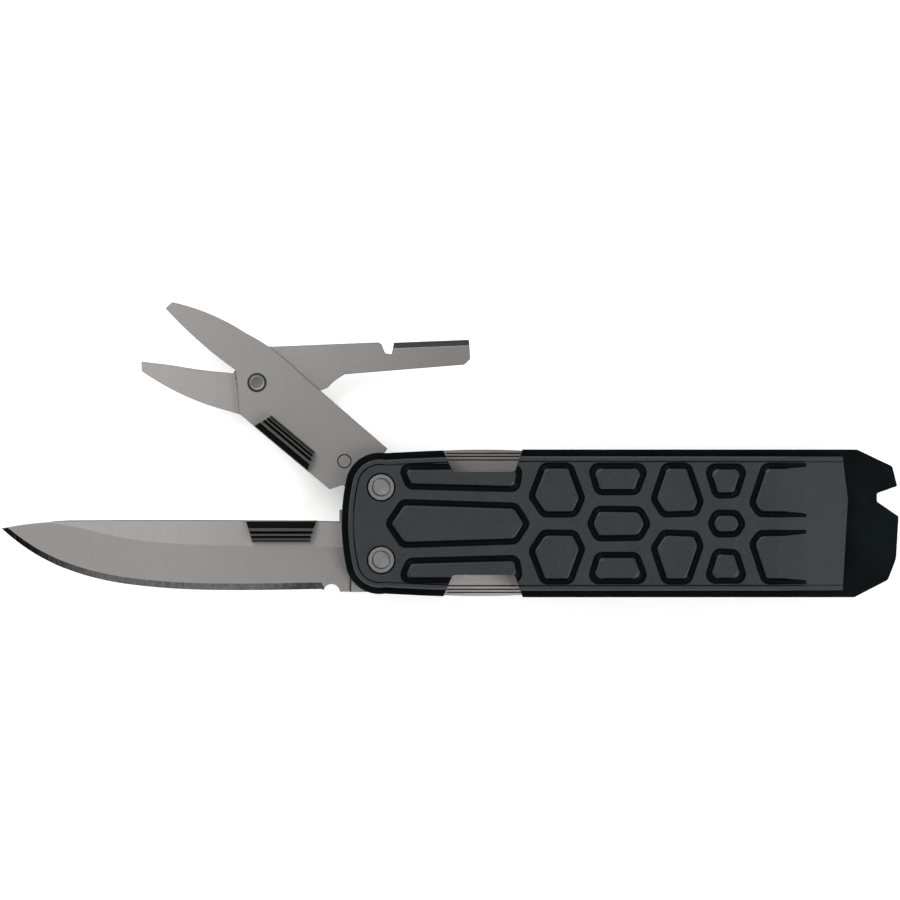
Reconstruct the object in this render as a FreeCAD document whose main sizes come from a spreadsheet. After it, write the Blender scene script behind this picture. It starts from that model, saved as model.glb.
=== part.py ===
import FreeCAD, Part
import math
import os

import Sketcher
from FreeCAD import Placement, Rotation, Vector

# Pocket multi tool: a slim handle of stacked plates, a knife blade and a pair of
# scissors on two pivots, and a pry plate with a nail notch at the far end.
# Frame: +X along the handle towards the pry end, +Z up through the stack,
# origin in the middle of the handle's flat back face. Millimetres.

SIZES = {
    # heights of the layers above the back face
    "z_back_frame": 2.2, "z_liner": 3.7, "z_lever_bay": 4.7, "z_tool_bay": 6.1,
    "z_pry_frame": 8.3, "z_front_scale": 10.9, "z_front_face": 13.3,
    # the two tool pivots, at pivot_x and plus or minus pivot_y
    "pivot_x": -38.95, "pivot_y": 6.57,
    "pin_radius": 1.15, "pin_shoulder": 1.3, "hinge_pin": 1.25, "running_gap": 0.05,
    "pin_head": 1.55, "collar_inner": 1.62, "collar_outer": 2.44, "recess_radius": 2.55,
    "head_sink": 0.25, "hub_radius": 1.9,
    # flat tools
    "blade_thick": 2.0, "blade_base": 6.12, "plate_thick": 1.6, "lever_base": 4.95,
    "lever_thick": 1.1, "blade_land": 0.35, "grind_width": 8.4,
    # scissors rivet and return spring
    "rivet_x": 29.57, "rivet_shaft": 1.0, "rivet_head": 1.35, "rivet_ring": 1.71,
    "spring_recess": 0.5, "spring_thick": 0.4, "anchor_x": 8.2, "anchor_y": 0.73,
    "anchor_radius": 1.25, "peg_radius": 0.55, "peg_orbit": 3.6,
    # thumb pads
    "pad_height": 2.1, "pad_peg": 0.75,
    # lock bars
    "bar_thick": 1.0, "blade_block": 1.2, "scissors_block": 0.2,
    # stops and fasteners
    "open_stop": 0.85, "closed_stop": 1.05, "stop_grip": 1.7,
    "screw_shaft": 1.0, "screw_head": 1.9, "screw_head_height": 1.1, "screw_x": 38.5,
    "screw_y": 6.5, "screw_sink": 0.5, "small_shaft": 0.8, "small_head": 1.6,
    "small_head_height": 0.7, "groove_depth": 0.5, "rim_chamfer": 0.6,
}

BODY_ANGLE = 140.03      # scissors plate when open, measured from +X
WINDOW_INNER = 9.34      # half the gap between the two side windows
GROOVE_WIDTH = 0.9
SPRING_WIDTH = 0.56
PEG_ANGLE = 24.0         # of the lever's spring peg about the rivet, in the plate's frame
SCALE_INSET = 1.25       # from the frame's edge to the grip scale's edge

doc = FreeCAD.newDocument("MultiTool")
sheet = doc.addObject("Spreadsheet::Sheet", "Sizes")
for row, (alias, value) in enumerate(SIZES.items(), start=1):
    sheet.set("A%d" % row, alias)
    sheet.set("B%d" % row, str(value))
    sheet.setAlias("B%d" % row, alias)
doc.recompute()


def cell(text):
    """An expression in which every alias of the sheet is addressed."""
    words = []
    for word in text.split(" "):
        name = word.lstrip("-")
        words.append(word.replace(name, "Sizes." + name) if name in SIZES else word)
    return " ".join(words)


def bind(thing, field, text):
    thing.setExpression(field, cell(text))


# ---------------------------------------------------------------- outlines

def corner_arc(before, corner, after, radius):
    """Start, middle and end of the arc that rounds a corner."""
    back = (before - corner).normalize()
    ahead = (after - corner).normalize()
    half = back.getAngle(ahead) / 2
    reach = radius / math.tan(half)
    inward = Vector(back + ahead).normalize()
    middle = corner + inward * (radius / math.sin(half) - radius)
    return corner + back * reach, middle, corner + ahead * reach


def outline(points):
    """Closed outline as sketch geometry.

    A point is (x, y), (x, y, radius) for a rounded corner, or ("via", x, y) for the
    middle of an arc between its two neighbours.
    """
    knots, vias = [], {}
    for point in points:
        if point[0] == "via":
            vias[len(knots) - 1] = Vector(point[1], point[2], 0)
        else:
            knots.append(point)
    spots = [Vector(knot[0], knot[1], 0) for knot in knots]
    count = len(spots)
    entries, exits, shapes = [], [], []
    for index, knot in enumerate(knots):
        if len(knot) == 3:
            first, middle, last = corner_arc(
                spots[index - 1], spots[index], spots[(index + 1) % count], knot[2])
            shapes.append(Part.Arc(first, middle, last))
        else:
            first = last = spots[index]
        entries.append(first)
        exits.append(last)
    for index in range(count):
        start, end = exits[index], entries[(index + 1) % count]
        if index in vias:
            shapes.append(Part.Arc(start, vias[index], end))
        elif start.distanceToPoint(end) > 1e-6:
            shapes.append(Part.LineSegment(start, end))
    return shapes


def mirrored(points):
    """The same outline on the other side of the X axis."""
    flipped = []
    for point in points:
        if point[0] == "via":
            flipped.append(("via", point[1], -point[2]))
        else:
            flipped.append((point[0], -point[1]) + tuple(point[2:]))
    return flipped


def offset_polygon(points, distance):
    """Polygon moved outwards by a distance; the points run counter-clockwise."""
    moved = []
    count = len(points)
    for index in range(count):
        here = Vector(*points[index], 0)
        before = (here - Vector(*points[index - 1], 0)).normalize()
        after = (Vector(*points[(index + 1) % count], 0) - here).normalize()
        side_before = Vector(before.y, -before.x, 0)
        side_after = Vector(after.y, -after.x, 0)
        bisector = side_before + side_after
        shift = bisector * (2 * distance / bisector.Length ** 2)
        moved.append((here.x + shift.x, here.y + shift.y))
    return moved


# ---------------------------------------------------------------- features

def new_body(label):
    body = doc.addObject("PartDesign::Body", label)
    body.Label = label
    return body


def sketch_on(body, name, height, role="XY_Plane", shapes=()):
    """Sketch on one of the body's own planes, lifted to a height from the sheet."""
    sketch = body.newObject("Sketcher::SketchObject", name)
    plane = next(f for f in body.Origin.OriginFeatures if f.Role == role)
    sketch.AttachmentSupport = [(plane, "")]
    sketch.MapMode = "FlatFace"
    bind(sketch, "AttachmentOffset.Base.z", height)
    for shape in shapes:
        sketch.addGeometry(shape, False)
    return sketch


def add_circle(sketch, x_text, y_text, radius_text):
    """Circle whose centre and radius are held by constraints bound to the sheet."""
    doc.recompute()
    values = [evaluate(text) for text in (x_text, y_text, radius_text)]
    circle = Part.Circle(Vector(values[0], values[1], 0), Vector(0, 0, 1), values[2])
    edge = sketch.addGeometry(circle, False)
    rules = [Sketcher.Constraint("DistanceX", -1, 1, edge, 3, values[0]),
             Sketcher.Constraint("DistanceY", -1, 1, edge, 3, values[1]),
             Sketcher.Constraint("Radius", edge, values[2])]
    for rule, text in zip(rules, (x_text, y_text, radius_text)):
        index = sketch.addConstraint(rule)
        bind(sketch, "Constraints[%d]" % index, text)


def evaluate(text):
    """Value of an expression over the sheet, as a number."""
    total, sign = 0.0, 1
    for word in text.split(" "):
        if word in "+-":
            sign = -1 if word == "-" else 1
        elif word.startswith("-") and word[1:] in SIZES:
            total -= sign * SIZES[word[1:]]
        else:
            total += sign * (SIZES[word] if word in SIZES else float(word))
    return total


def pad(body, sketch, length):
    feature = body.newObject("PartDesign::Pad", sketch.Name + "_pad")
    feature.Profile = sketch
    bind(feature, "Length", length)
    return feature


def pocket(body, sketch, length, upwards=False, both=False):
    """Cut below the sketch, above it, or on both sides of it."""
    feature = body.newObject("PartDesign::Pocket", sketch.Name + "_cut")
    feature.Profile = sketch
    feature.Reversed = upwards
    if both:
        feature.SideType = "Symmetric"
    bind(feature, "Length", length)
    return feature


def plate(label, shapes, base, thickness):
    """Body with one flat plate of a given outline."""
    body = new_body(label)
    pad(body, sketch_on(body, label + "_outline", base, shapes=shapes), thickness)
    return body


def drill(body, name, top, depth, circles, upwards=False):
    """Round holes cut from a height downwards (or upwards)."""
    sketch = sketch_on(body, name, top)
    for x_text, y_text, radius_text in circles:
        add_circle(sketch, x_text, y_text, radius_text)
    return pocket(body, sketch, depth, upwards)


def cut_outline(body, name, top, depth, outlines, upwards=False):
    shapes = [shape for points in outlines for shape in outline(points)]
    return pocket(body, sketch_on(body, name, top, shapes=shapes), depth, upwards)


def cylinder(name, radius, height, base, x_text="0", y_text="0"):
    round_bar = doc.addObject("Part::Cylinder", name)
    bind(round_bar, "Radius", radius)
    bind(round_bar, "Height", height)
    for axis, text in zip("xyz", (x_text, y_text, base)):
        bind(round_bar, "Placement.Base." + axis, text)
    return round_bar


def ring(name, outer, inner, height, base, x_text="0", y_text="0"):
    cut = doc.addObject("Part::Cut", name)
    cut.Base = cylinder(name + "_outside", outer, height, base, x_text, y_text)
    cut.Tool = cylinder(name + "_bore", inner, height, base, x_text, y_text)
    return cut


def fused(label, shapes):
    joined = doc.addObject("Part::MultiFuse", label)
    joined.Label = label
    joined.Shapes = shapes
    joined.Refine = True
    return joined


def group(label, members):
    """Several separate solids of one kind kept as one sub-part."""
    gathered = doc.addObject("Part::Compound", label)
    gathered.Label = label
    gathered.Links = members
    return gathered


def stand_at(thing, x_text, y_text, angle=0.0):
    """Place a sub-part at its pivot, turned about +Z."""
    thing.Placement = Placement(Vector(0, 0, 0), Rotation(Vector(0, 0, 1), angle))
    bind(thing, "Placement.Base.x", x_text)
    bind(thing, "Placement.Base.y", y_text)


PIVOTS = [("pivot_x", "pivot_y"), ("pivot_x", "-pivot_y")]
REAR_SCREWS = [("screw_x", "screw_y"), ("screw_x", "-screw_y")]
SCALE_SCREWS = [("-6.5", "0"), ("27.5", "0")]


def at(spots, radius):
    return [(x_text, y_text, radius) for x_text, y_text in spots]


# ---------------------------------------------------------------- handle

def nose_side(inset):
    """Outline of the pivot end, from the upper side round to the lower side."""
    half = 13.4 - inset
    upper = [(-13.0, half), ("via", -26.0, half - 0.12), (-38.3, half - 0.65),
             ("via", -43.3 + 0.75 * inset, 11.35 - 0.7 * inset), (-45.2 + inset, 8.5 - 0.3 * inset),
             ("via", -46.15 + inset, 0)]
    lower = [(-45.2 + inset, -8.5 + 0.3 * inset),
             ("via", -43.3 + 0.75 * inset, -11.35 + 0.7 * inset), (-38.3, -half + 0.65),
             ("via", -26.0, -half + 0.12), (-13.0, -half)]
    return upper + lower


def window(grow=0.0):
    """Side window over the lock bar's tab, open to the edge."""
    return [(-28.3 - grow, 14.6), (-26.0 - grow, WINDOW_INNER - grow, 0.8),
            (-14.75 + grow, WINDOW_INNER - grow, 0.8), (-12.9 + grow, 14.6)]


def both_sides(points):
    return [points, mirrored(points)]


def pry_end():
    """Bevelled pry end with its nail notch, from the lower to the upper side."""
    return [(46.8, -13.4), (53.0, -10.27, 1.0), (54.5, -6.45, 4.0), (54.95, 1.24, 0.3),
            (50.95, 3.95, 0.5), (50.95, 5.45, 0.45), (54.72, 6.75, 0.3), (53.8, 10.36, 0.8),
            (47.3, 13.4)]


def build_pry_frame():
    body = plate("pry_frame", outline(nose_side(0.0) + pry_end()),
                 "z_pry_frame", "z_front_scale - z_pry_frame")
    cut_outline(body, "pry_windows", "z_front_scale", "z_front_scale - z_pry_frame",
                both_sides(window()))
    drill(body, "pry_pins", "z_front_scale", "z_front_scale - z_pry_frame",
          at(PIVOTS[1:], "pin_radius") + at(PIVOTS[:1], "hinge_pin"))
    drill(body, "pry_stops", "z_pry_frame", "stop_grip",
          [("-43", "1.25", "open_stop"), ("-29.6", "-0.75", "closed_stop")], upwards=True)
    drill(body, "pry_threads", "z_pry_frame", "stop_grip", at(REAR_SCREWS, "screw_shaft"),
          upwards=True)
    drill(body, "pry_screw_heads", "z_pry_frame", "small_head_height",
          at(SCALE_SCREWS, "small_head"), upwards=True)
    drill(body, "pry_screw_holes", "z_front_scale", "z_front_scale - z_pry_frame",
          at(SCALE_SCREWS, "small_shaft"))
    taper = outline([(46.4, 11.2), (46.4, 10.9), (56.0, 9.15), (56.0, 11.2)])
    pocket(body, sketch_on(body, "pry_taper", "0", "XZ_Plane", taper), "32", both=True)
    return body


def build_front_scale():
    thickness = "z_front_face - z_front_scale"
    body = scale_blank("front_scale", "z_front_scale", "z_front_face", chamfered_up=True)
    ramp = outline([(33.0, 13.9), (33.0, 13.3), (37.6, 12.85), (46.5, 11.6), (46.5, 13.9)])
    pocket(body, sketch_on(body, "front_ramp", "0", "XZ_Plane", ramp), "32", both=True)
    cut_outline(body, "front_windows", "z_front_face", thickness, both_sides(window(0.05)))
    drill(body, "front_recesses", "z_front_face", thickness, at(PIVOTS, "recess_radius"))
    cut_grooves(body, "front_grooves", "z_front_face", upwards=False)
    drill(body, "front_threads", "z_front_scale", "1.4", at(SCALE_SCREWS, "small_shaft"),
          upwards=True)
    return body


def build_back_scale():
    body = scale_blank("back_scale", "0", "z_back_frame", chamfered_up=False)
    drill(body, "back_recesses", "z_back_frame", "z_back_frame", at(PIVOTS, "recess_radius"))
    drill(body, "back_screw_holes", "z_back_frame", "z_back_frame",
          at(REAR_SCREWS, "screw_shaft + running_gap"))
    drill(body, "back_screw_heads", "0", "screw_sink + screw_head_height",
          at(REAR_SCREWS, "screw_head + running_gap"), upwards=True)
    drill(body, "back_threads", "z_back_frame", "1.4", at(SCALE_SCREWS, "small_shaft"))
    return body


def scale_outline(inset):
    """Outline of a grip scale; the rim's chamfer takes it a little further in."""
    half = 13.4 - inset
    return outline(nose_side(inset) + [(44.45, 0.05 - half), (45.6, 0.3), (44.6, half - 0.05)])


def scale_blank(label, base, height, chamfered_up):
    """Grip scale with its outer rim chamfered, as a pad and a loft on one body."""
    wall = "%s - %s - rim_chamfer" % (height, base)
    pad_base = base if chamfered_up else base + " + rim_chamfer"
    body = plate(label, scale_outline(SCALE_INSET), pad_base, wall)
    wide = height + " - rim_chamfer" if chamfered_up else base + " + rim_chamfer"
    narrow = height if chamfered_up else base
    loft = body.newObject("PartDesign::AdditiveLoft", label + "_rim")
    loft.Profile = sketch_on(body, label + "_rim_foot", wide, shapes=scale_outline(SCALE_INSET))
    loft.Sections = [sketch_on(body, label + "_rim_top", narrow,
                               shapes=scale_outline(SCALE_INSET + SIZES["rim_chamfer"]))]
    loft.Ruled = True
    return body


HEXES = [
    [(-9.7, 10.55), (-11.9, 4.9), (-9.64, 1.55), (-3.9, 1.6), (-2.5, 4.55), (-4.7, 10.55)],
    [(-1.3, 10.5), (0.16, 5.6), (7.3, 5.6), (9.1, 10.5)],
    [(12.3, 10.55), (10.2, 4.4), (12.05, 1.55), (18.0, 1.75), (18.9, 4.0), (16.65, 10.55)],
    [(19.8, 10.4), (21.5, 4.95), (25.3, 5.1), (26.95, 10.4)],
]
CENTRE_CELLS = [
    [(-37.8, 0), (-35.1, -3.95), (-14.6, -3.3), (-12.45, 0), (-14.6, 3.3), (-35.1, 3.95)],
    [(-1.3, 0), (0, -2.75), (7.9, -2.65), (9.35, 0), (7.9, 2.65), (0, 2.75)],
    [(20.5, 0), (21.5, -2.05), (25.3, -2.0), (26.6, 0), (25.3, 2.0), (21.5, 2.05)],
]
OPEN_CELLS = [
    [(40.0, 10.55), (30.3, 10.5), (28.0, 3.6), (29.4, 1.65), (40.0, 1.5)],
]
WINDOW_CHANNEL = [(-27.2, 10.6), (-35.3, 10.5), (-35.1, 8.6), (-34.0, 6.7), (-14.85, 6.2),
                  (-13.3, 10.9)]


def strip(points, width):
    """Closed outline of a groove of a given width along an open line."""
    left, right = [], []
    last = len(points) - 1
    for index, (x, y) in enumerate(points):
        here = Vector(x, y, 0)
        ahead = (Vector(*points[min(index + 1, last)], 0) - here)
        behind = (here - Vector(*points[max(index - 1, 0)], 0))
        ahead = (ahead if index < last else behind).normalize()
        behind = (behind if index > 0 else ahead).normalize()
        side = Vector(-ahead.y, ahead.x, 0) + Vector(-behind.y, behind.x, 0)
        side = side * (width / side.Length ** 2)
        left.append((here.x + side.x, here.y + side.y))
        right.append((here.x - side.x, here.y - side.y))
    return left + right[::-1]


def cut_grooves(body, name, top, upwards):
    """Moulded cells of the grip: rings, and open channels beside the windows."""
    cells = list(CENTRE_CELLS)
    for ccw in HEXES:
        cells += [ccw, [(x, -y) for x, y in reversed(ccw)]]
    rings = []
    for cell_points in cells:
        rings.append(offset_polygon(cell_points, GROOVE_WIDTH / 2))
        rings.append(offset_polygon(cell_points, -GROOVE_WIDTH / 2))
    lines = OPEN_CELLS + [WINDOW_CHANNEL]
    lines = lines + [[(x, -y) for x, y in line] for line in lines]
    rings += [strip(line, GROOVE_WIDTH) for line in lines]
    cut_outline(body, name, top, "groove_depth", rings, upwards)


def build_back_frame():
    end = [(44.6, -13.4, 1.0), (45.6, 0), (44.6, 13.4, 1.0)]
    body = plate("back_frame", outline(nose_side(0.0) + end),
                 "z_back_frame", "z_liner - z_back_frame")
    depth = "z_liner - z_back_frame"
    slot = [(-35.0, 8.8), (-5.6, 8.8), (-5.6, 12.3), (-12.9, 12.3), (-12.9, 14.6),
            (-28.6, 14.6), (-28.6, 12.3), (-35.0, 12.3)]
    cut_outline(body, "bar_slots", "z_liner", depth, both_sides(slot))
    drill(body, "back_pins", "z_liner", depth, at(PIVOTS[1:], "pin_shoulder")
          + at(PIVOTS[:1], "hinge_pin") + at(REAR_SCREWS, "screw_shaft + running_gap")
          + at(SCALE_SCREWS, "small_shaft"))
    drill(body, "back_heads", "z_liner", "small_head_height", at(SCALE_SCREWS, "small_head"))
    return body


def build_lock_liner():
    nose_tab = [(-45.4, 2.45), (-46.7, 2.45), (-46.7, 0.3), (-45.4, 0.3)]
    corner = [(-45.4, -9.5), (-44.3, -11.0), (-44.3, -12.4), (-34.8, -12.6), (-34.8, -8.85),
              (-5.9, -8.85), (-5.9, -12.5), (44.3, -12.5)]
    upper = [(x, -y) for x, y in reversed(corner)]
    body = plate("lock_liner", outline(upper + nose_tab + corner), "z_liner",
                 "z_lever_bay - z_liner")
    drill(body, "liner_pins", "z_lever_bay", "z_lever_bay - z_liner",
          at(PIVOTS[1:], "pin_shoulder") + at(PIVOTS[:1], "hinge_pin")
          + at(REAR_SCREWS, "screw_shaft + running_gap"))
    return body


def build_rear_spacer():
    block = outline([(33.0, -11.0, 1.5), (44.2, -11.0, 1.5), (44.2, 11.0, 1.5),
                     (33.0, 11.0, 1.5)])
    body = plate("rear_spacer", block, "z_lever_bay", "z_pry_frame - z_lever_bay")
    drill(body, "spacer_holes", "z_pry_frame", "z_pry_frame - z_lever_bay",
          at(REAR_SCREWS, "screw_shaft + running_gap"))
    return body


def build_lock_bar(label, side, block_height):
    """Spring bar of the liner with its ribbed tab and the block that stops a tang."""
    bar = [(-34.6, 9.0), (-6.0, 9.0), (-6.0, 12.0), (-13.2, 12.0), (-13.4, 13.2),
           ("via", -20.8, 13.38), (-28.0, 13.2), (-28.2, 12.0), (-34.6, 12.0)]
    block = [(-32.7, 11.0), (-29.6, 9.6), (-28.4, 9.6), (-28.4, 12.0), (-32.7, 12.0)]
    turn = (lambda points: points) if side > 0 else mirrored
    body = plate(label, outline(turn(bar)), "z_liner", "bar_thick")
    pad(body, sketch_on(body, label + "_block", "z_lever_bay", shapes=outline(turn(block))),
        block_height)
    ribs = []
    for rib_y in (11.45, 12.1, 12.65):
        ribs.append(turn([(-27.2, rib_y - 0.11), (-15.3, rib_y - 0.11),
                          (-15.3, rib_y + 0.11), (-27.2, rib_y + 0.11)]))
    cut_outline(body, label + "_ribs", "z_lever_bay", "0.25", ribs)
    return body


# ---------------------------------------------------------------- pins and fasteners

def build_blade_pin():
    x_text, y_text = PIVOTS[1]
    return fused("blade_pivot_pin", [
        cylinder("blade_pin_back", "pin_head", "z_back_frame - head_sink", "head_sink",
                 x_text, y_text),
        cylinder("blade_pin_shoulder", "pin_shoulder", "blade_base - z_back_frame",
                 "z_back_frame", x_text, y_text),
        cylinder("blade_pin_shaft", "pin_radius", "z_front_scale - blade_base", "blade_base",
                 x_text, y_text),
        cylinder("blade_pin_front", "pin_head", "z_front_face - head_sink - z_front_scale",
                 "z_front_scale", x_text, y_text)])


def build_scissors_pin():
    x_text, y_text = PIVOTS[0]
    return fused("scissors_pivot_pin", [
        cylinder("hinge_pin_back", "pin_head", "z_back_frame - head_sink", "head_sink",
                 x_text, y_text),
        cylinder("hinge_pin_shaft", "hinge_pin", "z_front_scale - z_back_frame",
                 "z_back_frame", x_text, y_text),
        cylinder("hinge_pin_front", "pin_head", "z_front_face - head_sink - z_front_scale",
                 "z_front_scale", x_text, y_text)])


def build_collars(label, base, height):
    rings = []
    for index, (x_text, y_text) in enumerate(PIVOTS):
        rings.append(ring("%s_%d" % (label, index), "collar_outer", "collar_inner", height,
                          base, x_text, y_text))
    return group(label, rings)


def build_washers():
    blade_washer = ring("blade_washer_ring", "3.0", "pin_radius + running_gap",
                        "0.14", "blade_base + blade_thick + 0.02", *PIVOTS[1])
    front = ring("scissors_washer_front", "3.0", "hinge_pin + running_gap", "0.56",
                 "z_tool_bay + plate_thick + 0.02", *PIVOTS[0])
    rear = ring("scissors_washer_rear", "2.4", "hinge_pin + running_gap", "0.2",
                "z_lever_bay + 0.02", *PIVOTS[0])
    return [group("blade_washer", [blade_washer]), group("scissors_washers", [front, rear])]


def build_stop_pins():
    length = "z_pry_frame - blade_base + stop_grip"
    return group("stop_pins", [
        cylinder("stop_when_open", "open_stop", length, "blade_base", "-43", "1.25"),
        cylinder("stop_when_closed", "closed_stop", length, "blade_base", "-29.6", "-0.75")])


def screw(name, x_text, y_text, head, head_height, head_base, shaft, shaft_length, shaft_base):
    return fused(name, [
        cylinder(name + "_head", head, head_height, head_base, x_text, y_text),
        cylinder(name + "_shaft", shaft, shaft_length, shaft_base, x_text, y_text)])


def build_screws():
    long_ones, front_ones, back_ones = [], [], []
    for index, spot in enumerate(REAR_SCREWS):
        long_ones.append(screw(
            "handle_screw_%d" % index, *spot, "screw_head", "screw_head_height", "screw_sink",
            "screw_shaft", "z_pry_frame - screw_sink - screw_head_height + stop_grip",
            "screw_sink + screw_head_height"))
    for index, spot in enumerate(SCALE_SCREWS):
        front_ones.append(screw(
            "front_screw_%d" % index, *spot, "small_head", "small_head_height", "z_pry_frame",
            "small_shaft", "z_front_scale - z_pry_frame + 0.6",
            "z_pry_frame + small_head_height"))
        back_ones.append(screw(
            "back_screw_%d" % index, *spot, "small_head", "small_head_height",
            "z_liner - small_head_height", "small_shaft", "2.1", "0.9"))
    return [group("handle_screws", long_ones), group("front_scale_screws", front_ones),
            group("back_scale_screws", back_ones)]


# ---------------------------------------------------------------- knife blade

def build_blade():
    """Drop-point blade about its pivot, pointing along -X when open."""
    profile = [(-69.1, 5.64), ("via", -62.4, 6.62), (-56.45, 7.05), (-3.9, 6.87), (-3.0, 5.2),
               ("via", 6.0, 0), (-0.6, -5.97), (-7.6, -5.9), (-7.6, -5.2), ("via", -9.3, -4.43),
               (-10.7, -5.4), ("via", -28.0, -5.6), (-42.25, -5.03), ("via", -58.6, -1.4),
               (-69.1, 5.64)]
    blank = plate("blade_blank", outline(profile[:-1]), "blade_base", "blade_thick")
    drill(blank, "blade_bore", "blade_base + blade_thick", "blade_thick",
          [("0", "0", "pin_radius + running_gap"), ("-21", "5.3", "pad_peg"),
           ("-15.2", "5.3", "pad_peg")])
    grinds = []
    slope = math.degrees(math.atan((SIZES["blade_thick"] - SIZES["blade_land"]) / 2
                                   / SIZES["grind_width"]))
    for name, x, y, heading, length in (("belly", -9.9, -5.6, 180.0, 60.0),
                                        ("point", -46.0, -7.3, 155.0, 34.0)):
        for face, lift in (("front", 1), ("back", -1)):
            grinds.append(grinding_block(name + "_" + face, x, y, heading, length, lift, slope))
    cutter = doc.addObject("Part::MultiFuse", "blade_grinds")
    cutter.Shapes = grinds
    blade = doc.addObject("Part::Cut", "blade")
    blade.Label = "blade"
    blade.Base = blank
    blade.Tool = cutter
    stand_at(blade, *PIVOTS[1])
    return blade


def grinding_block(name, x, y, heading, length, lift, slope):
    """Block whose tilted face grinds one side of the blade down to its edge."""
    height = 4.0
    block = doc.addObject("Part::Box", "grind_" + name)
    block.Length = length
    block.Height = height
    bind(block, "Width", "grind_width + 4")
    middle = SIZES["blade_base"] + SIZES["blade_thick"] / 2
    edge_height = middle + lift * SIZES["blade_land"] / 2
    heading_turn = Placement(Vector(x, y, edge_height), Rotation(Vector(0, 0, 1), heading))
    tilt = Placement(Vector(0, 0, 0), Rotation(Vector(1, 0, 0), -lift * slope))
    corner = Vector(0, -SIZES["grind_width"], 0 if lift > 0 else -height)
    block.Placement = heading_turn * tilt * Placement(corner, Rotation())
    return block


def build_blade_pad():
    """Grip pad on the blade's front, pressed in with two pegs."""
    shape = outline([(-24.55, 7.1, 0.4), (-23.4, 3.13, 0.6), (-12.75, 3.13, 0.6),
                     (-11.6, 7.1, 0.4)])
    body = new_body("blade_thumb_pad")
    pad(body, sketch_on(body, "blade_pad_outline", "blade_base + blade_thick", shapes=shape),
        "pad_height")
    pegs = sketch_on(body, "blade_pad_pegs", "blade_base + 0.4")
    for x_text in ("-21", "-15.2"):
        add_circle(pegs, x_text, "5.3", "pad_peg")
    pad(body, pegs, "blade_thick - 0.4")
    stand_at(body, *PIVOTS[1])
    return body


# ---------------------------------------------------------------- scissors

def build_scissors_body():
    """Front plate: tang, handle and upper blade, along its own +X from the pivot."""
    profile = [(51.0, 0.35, 0.2), (50.8, -1.35, 0.3), ("via", 44.2, -4.05), (36.8, -5.6),
               ("via", 31.5, -6.42), (27.5, -6.5), (23.4, -6.32), (3.65, -6.02), (3.62, -4.39),
               ("via", -4.9, -2.9), (-2.85, 4.94), ("via", 0.8, 5.63), (4.1, 3.95),
               (5.7, 4.3), (6.95, 6.42),
               (28.35, 6.42, 0.3), (34.0, 0.75), ("via", 42.5, 1.0)]
    body = plate("scissors_body", outline(profile), "z_tool_bay", "plate_thick")
    hub = sketch_on(body, "hub", "lever_base")
    add_circle(hub, "0", "0", "hub_radius")
    pad(body, hub, "z_tool_bay - lever_base")
    drill(body, "plate_bores", "z_tool_bay + plate_thick", "4",
          [("0", "0", "hinge_pin + running_gap"), ("rivet_x", "0", "rivet_shaft + running_gap"),
           ("anchor_x", "anchor_y", "anchor_radius"), ("15", "4.7", "pad_peg"),
           ("22", "4.7", "pad_peg")])
    drill(body, "rivet_recess", "z_tool_bay + plate_thick", "0.3",
          [("rivet_x", "0", "rivet_ring")])
    first, last = 108.0, -32.0
    inner, outer = SIZES["peg_orbit"] - 1.0, SIZES["peg_orbit"] + 1.0
    spring_room = [about_rivet(outer, first), ("via",) + about_rivet(outer, (first + last) / 2),
                   about_rivet(outer, last), about_rivet(inner, last),
                   ("via",) + about_rivet(inner, (first + last) / 2), about_rivet(inner, first)]
    x = SIZES["rivet_x"]
    leg_room = [(x - 0.9, 2.6), (x - 0.9, 4.3), (SIZES["anchor_x"], 2.6),
                (SIZES["anchor_x"], 0.6)]
    for name, room in (("spring_room", spring_room), ("leg_room", leg_room)):
        cut_outline(body, name, "z_tool_bay", "spring_recess", [room], upwards=True)
    stand_at(body, *PIVOTS[0], BODY_ANGLE)
    return body


def about_rivet(radius, degrees):
    """Point on a circle about the rivet, in the scissors plate's own frame."""
    angle = math.radians(degrees)
    return SIZES["rivet_x"] + radius * math.cos(angle), radius * math.sin(angle)


def build_scissors_spring():
    """Flat wire spring from the anchor pin round the rivet to the lever's peg."""
    half = SPRING_WIDTH / 2
    first, last = 100.0, PEG_ANGLE + 10.0
    middle = (first + last) / 2
    inner, outer = SIZES["peg_orbit"] - half, SIZES["peg_orbit"] + half
    foot_x, foot_y = SIZES["anchor_x"] + 1.15, SIZES["anchor_y"] + 0.55
    path = [(foot_x, foot_y + half), about_rivet(outer, first),
            ("via",) + about_rivet(outer, middle), about_rivet(outer, last),
            about_rivet(inner, last), ("via",) + about_rivet(inner, middle),
            about_rivet(inner, first), (foot_x + 0.1, foot_y - half)]
    body = plate("scissors_spring", outline(path), "z_tool_bay + 0.05", "spring_thick")
    stand_at(body, *PIVOTS[0], BODY_ANGLE)
    return body


def rivet_world():
    """The rivet's place beside the handle with the scissors open."""
    turn = Rotation(Vector(0, 0, 1), BODY_ANGLE)
    reach = turn.multVec(Vector(SIZES["rivet_x"], 0, 0))
    return SIZES["pivot_x"] + reach.x, SIZES["pivot_y"] + reach.y


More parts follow.
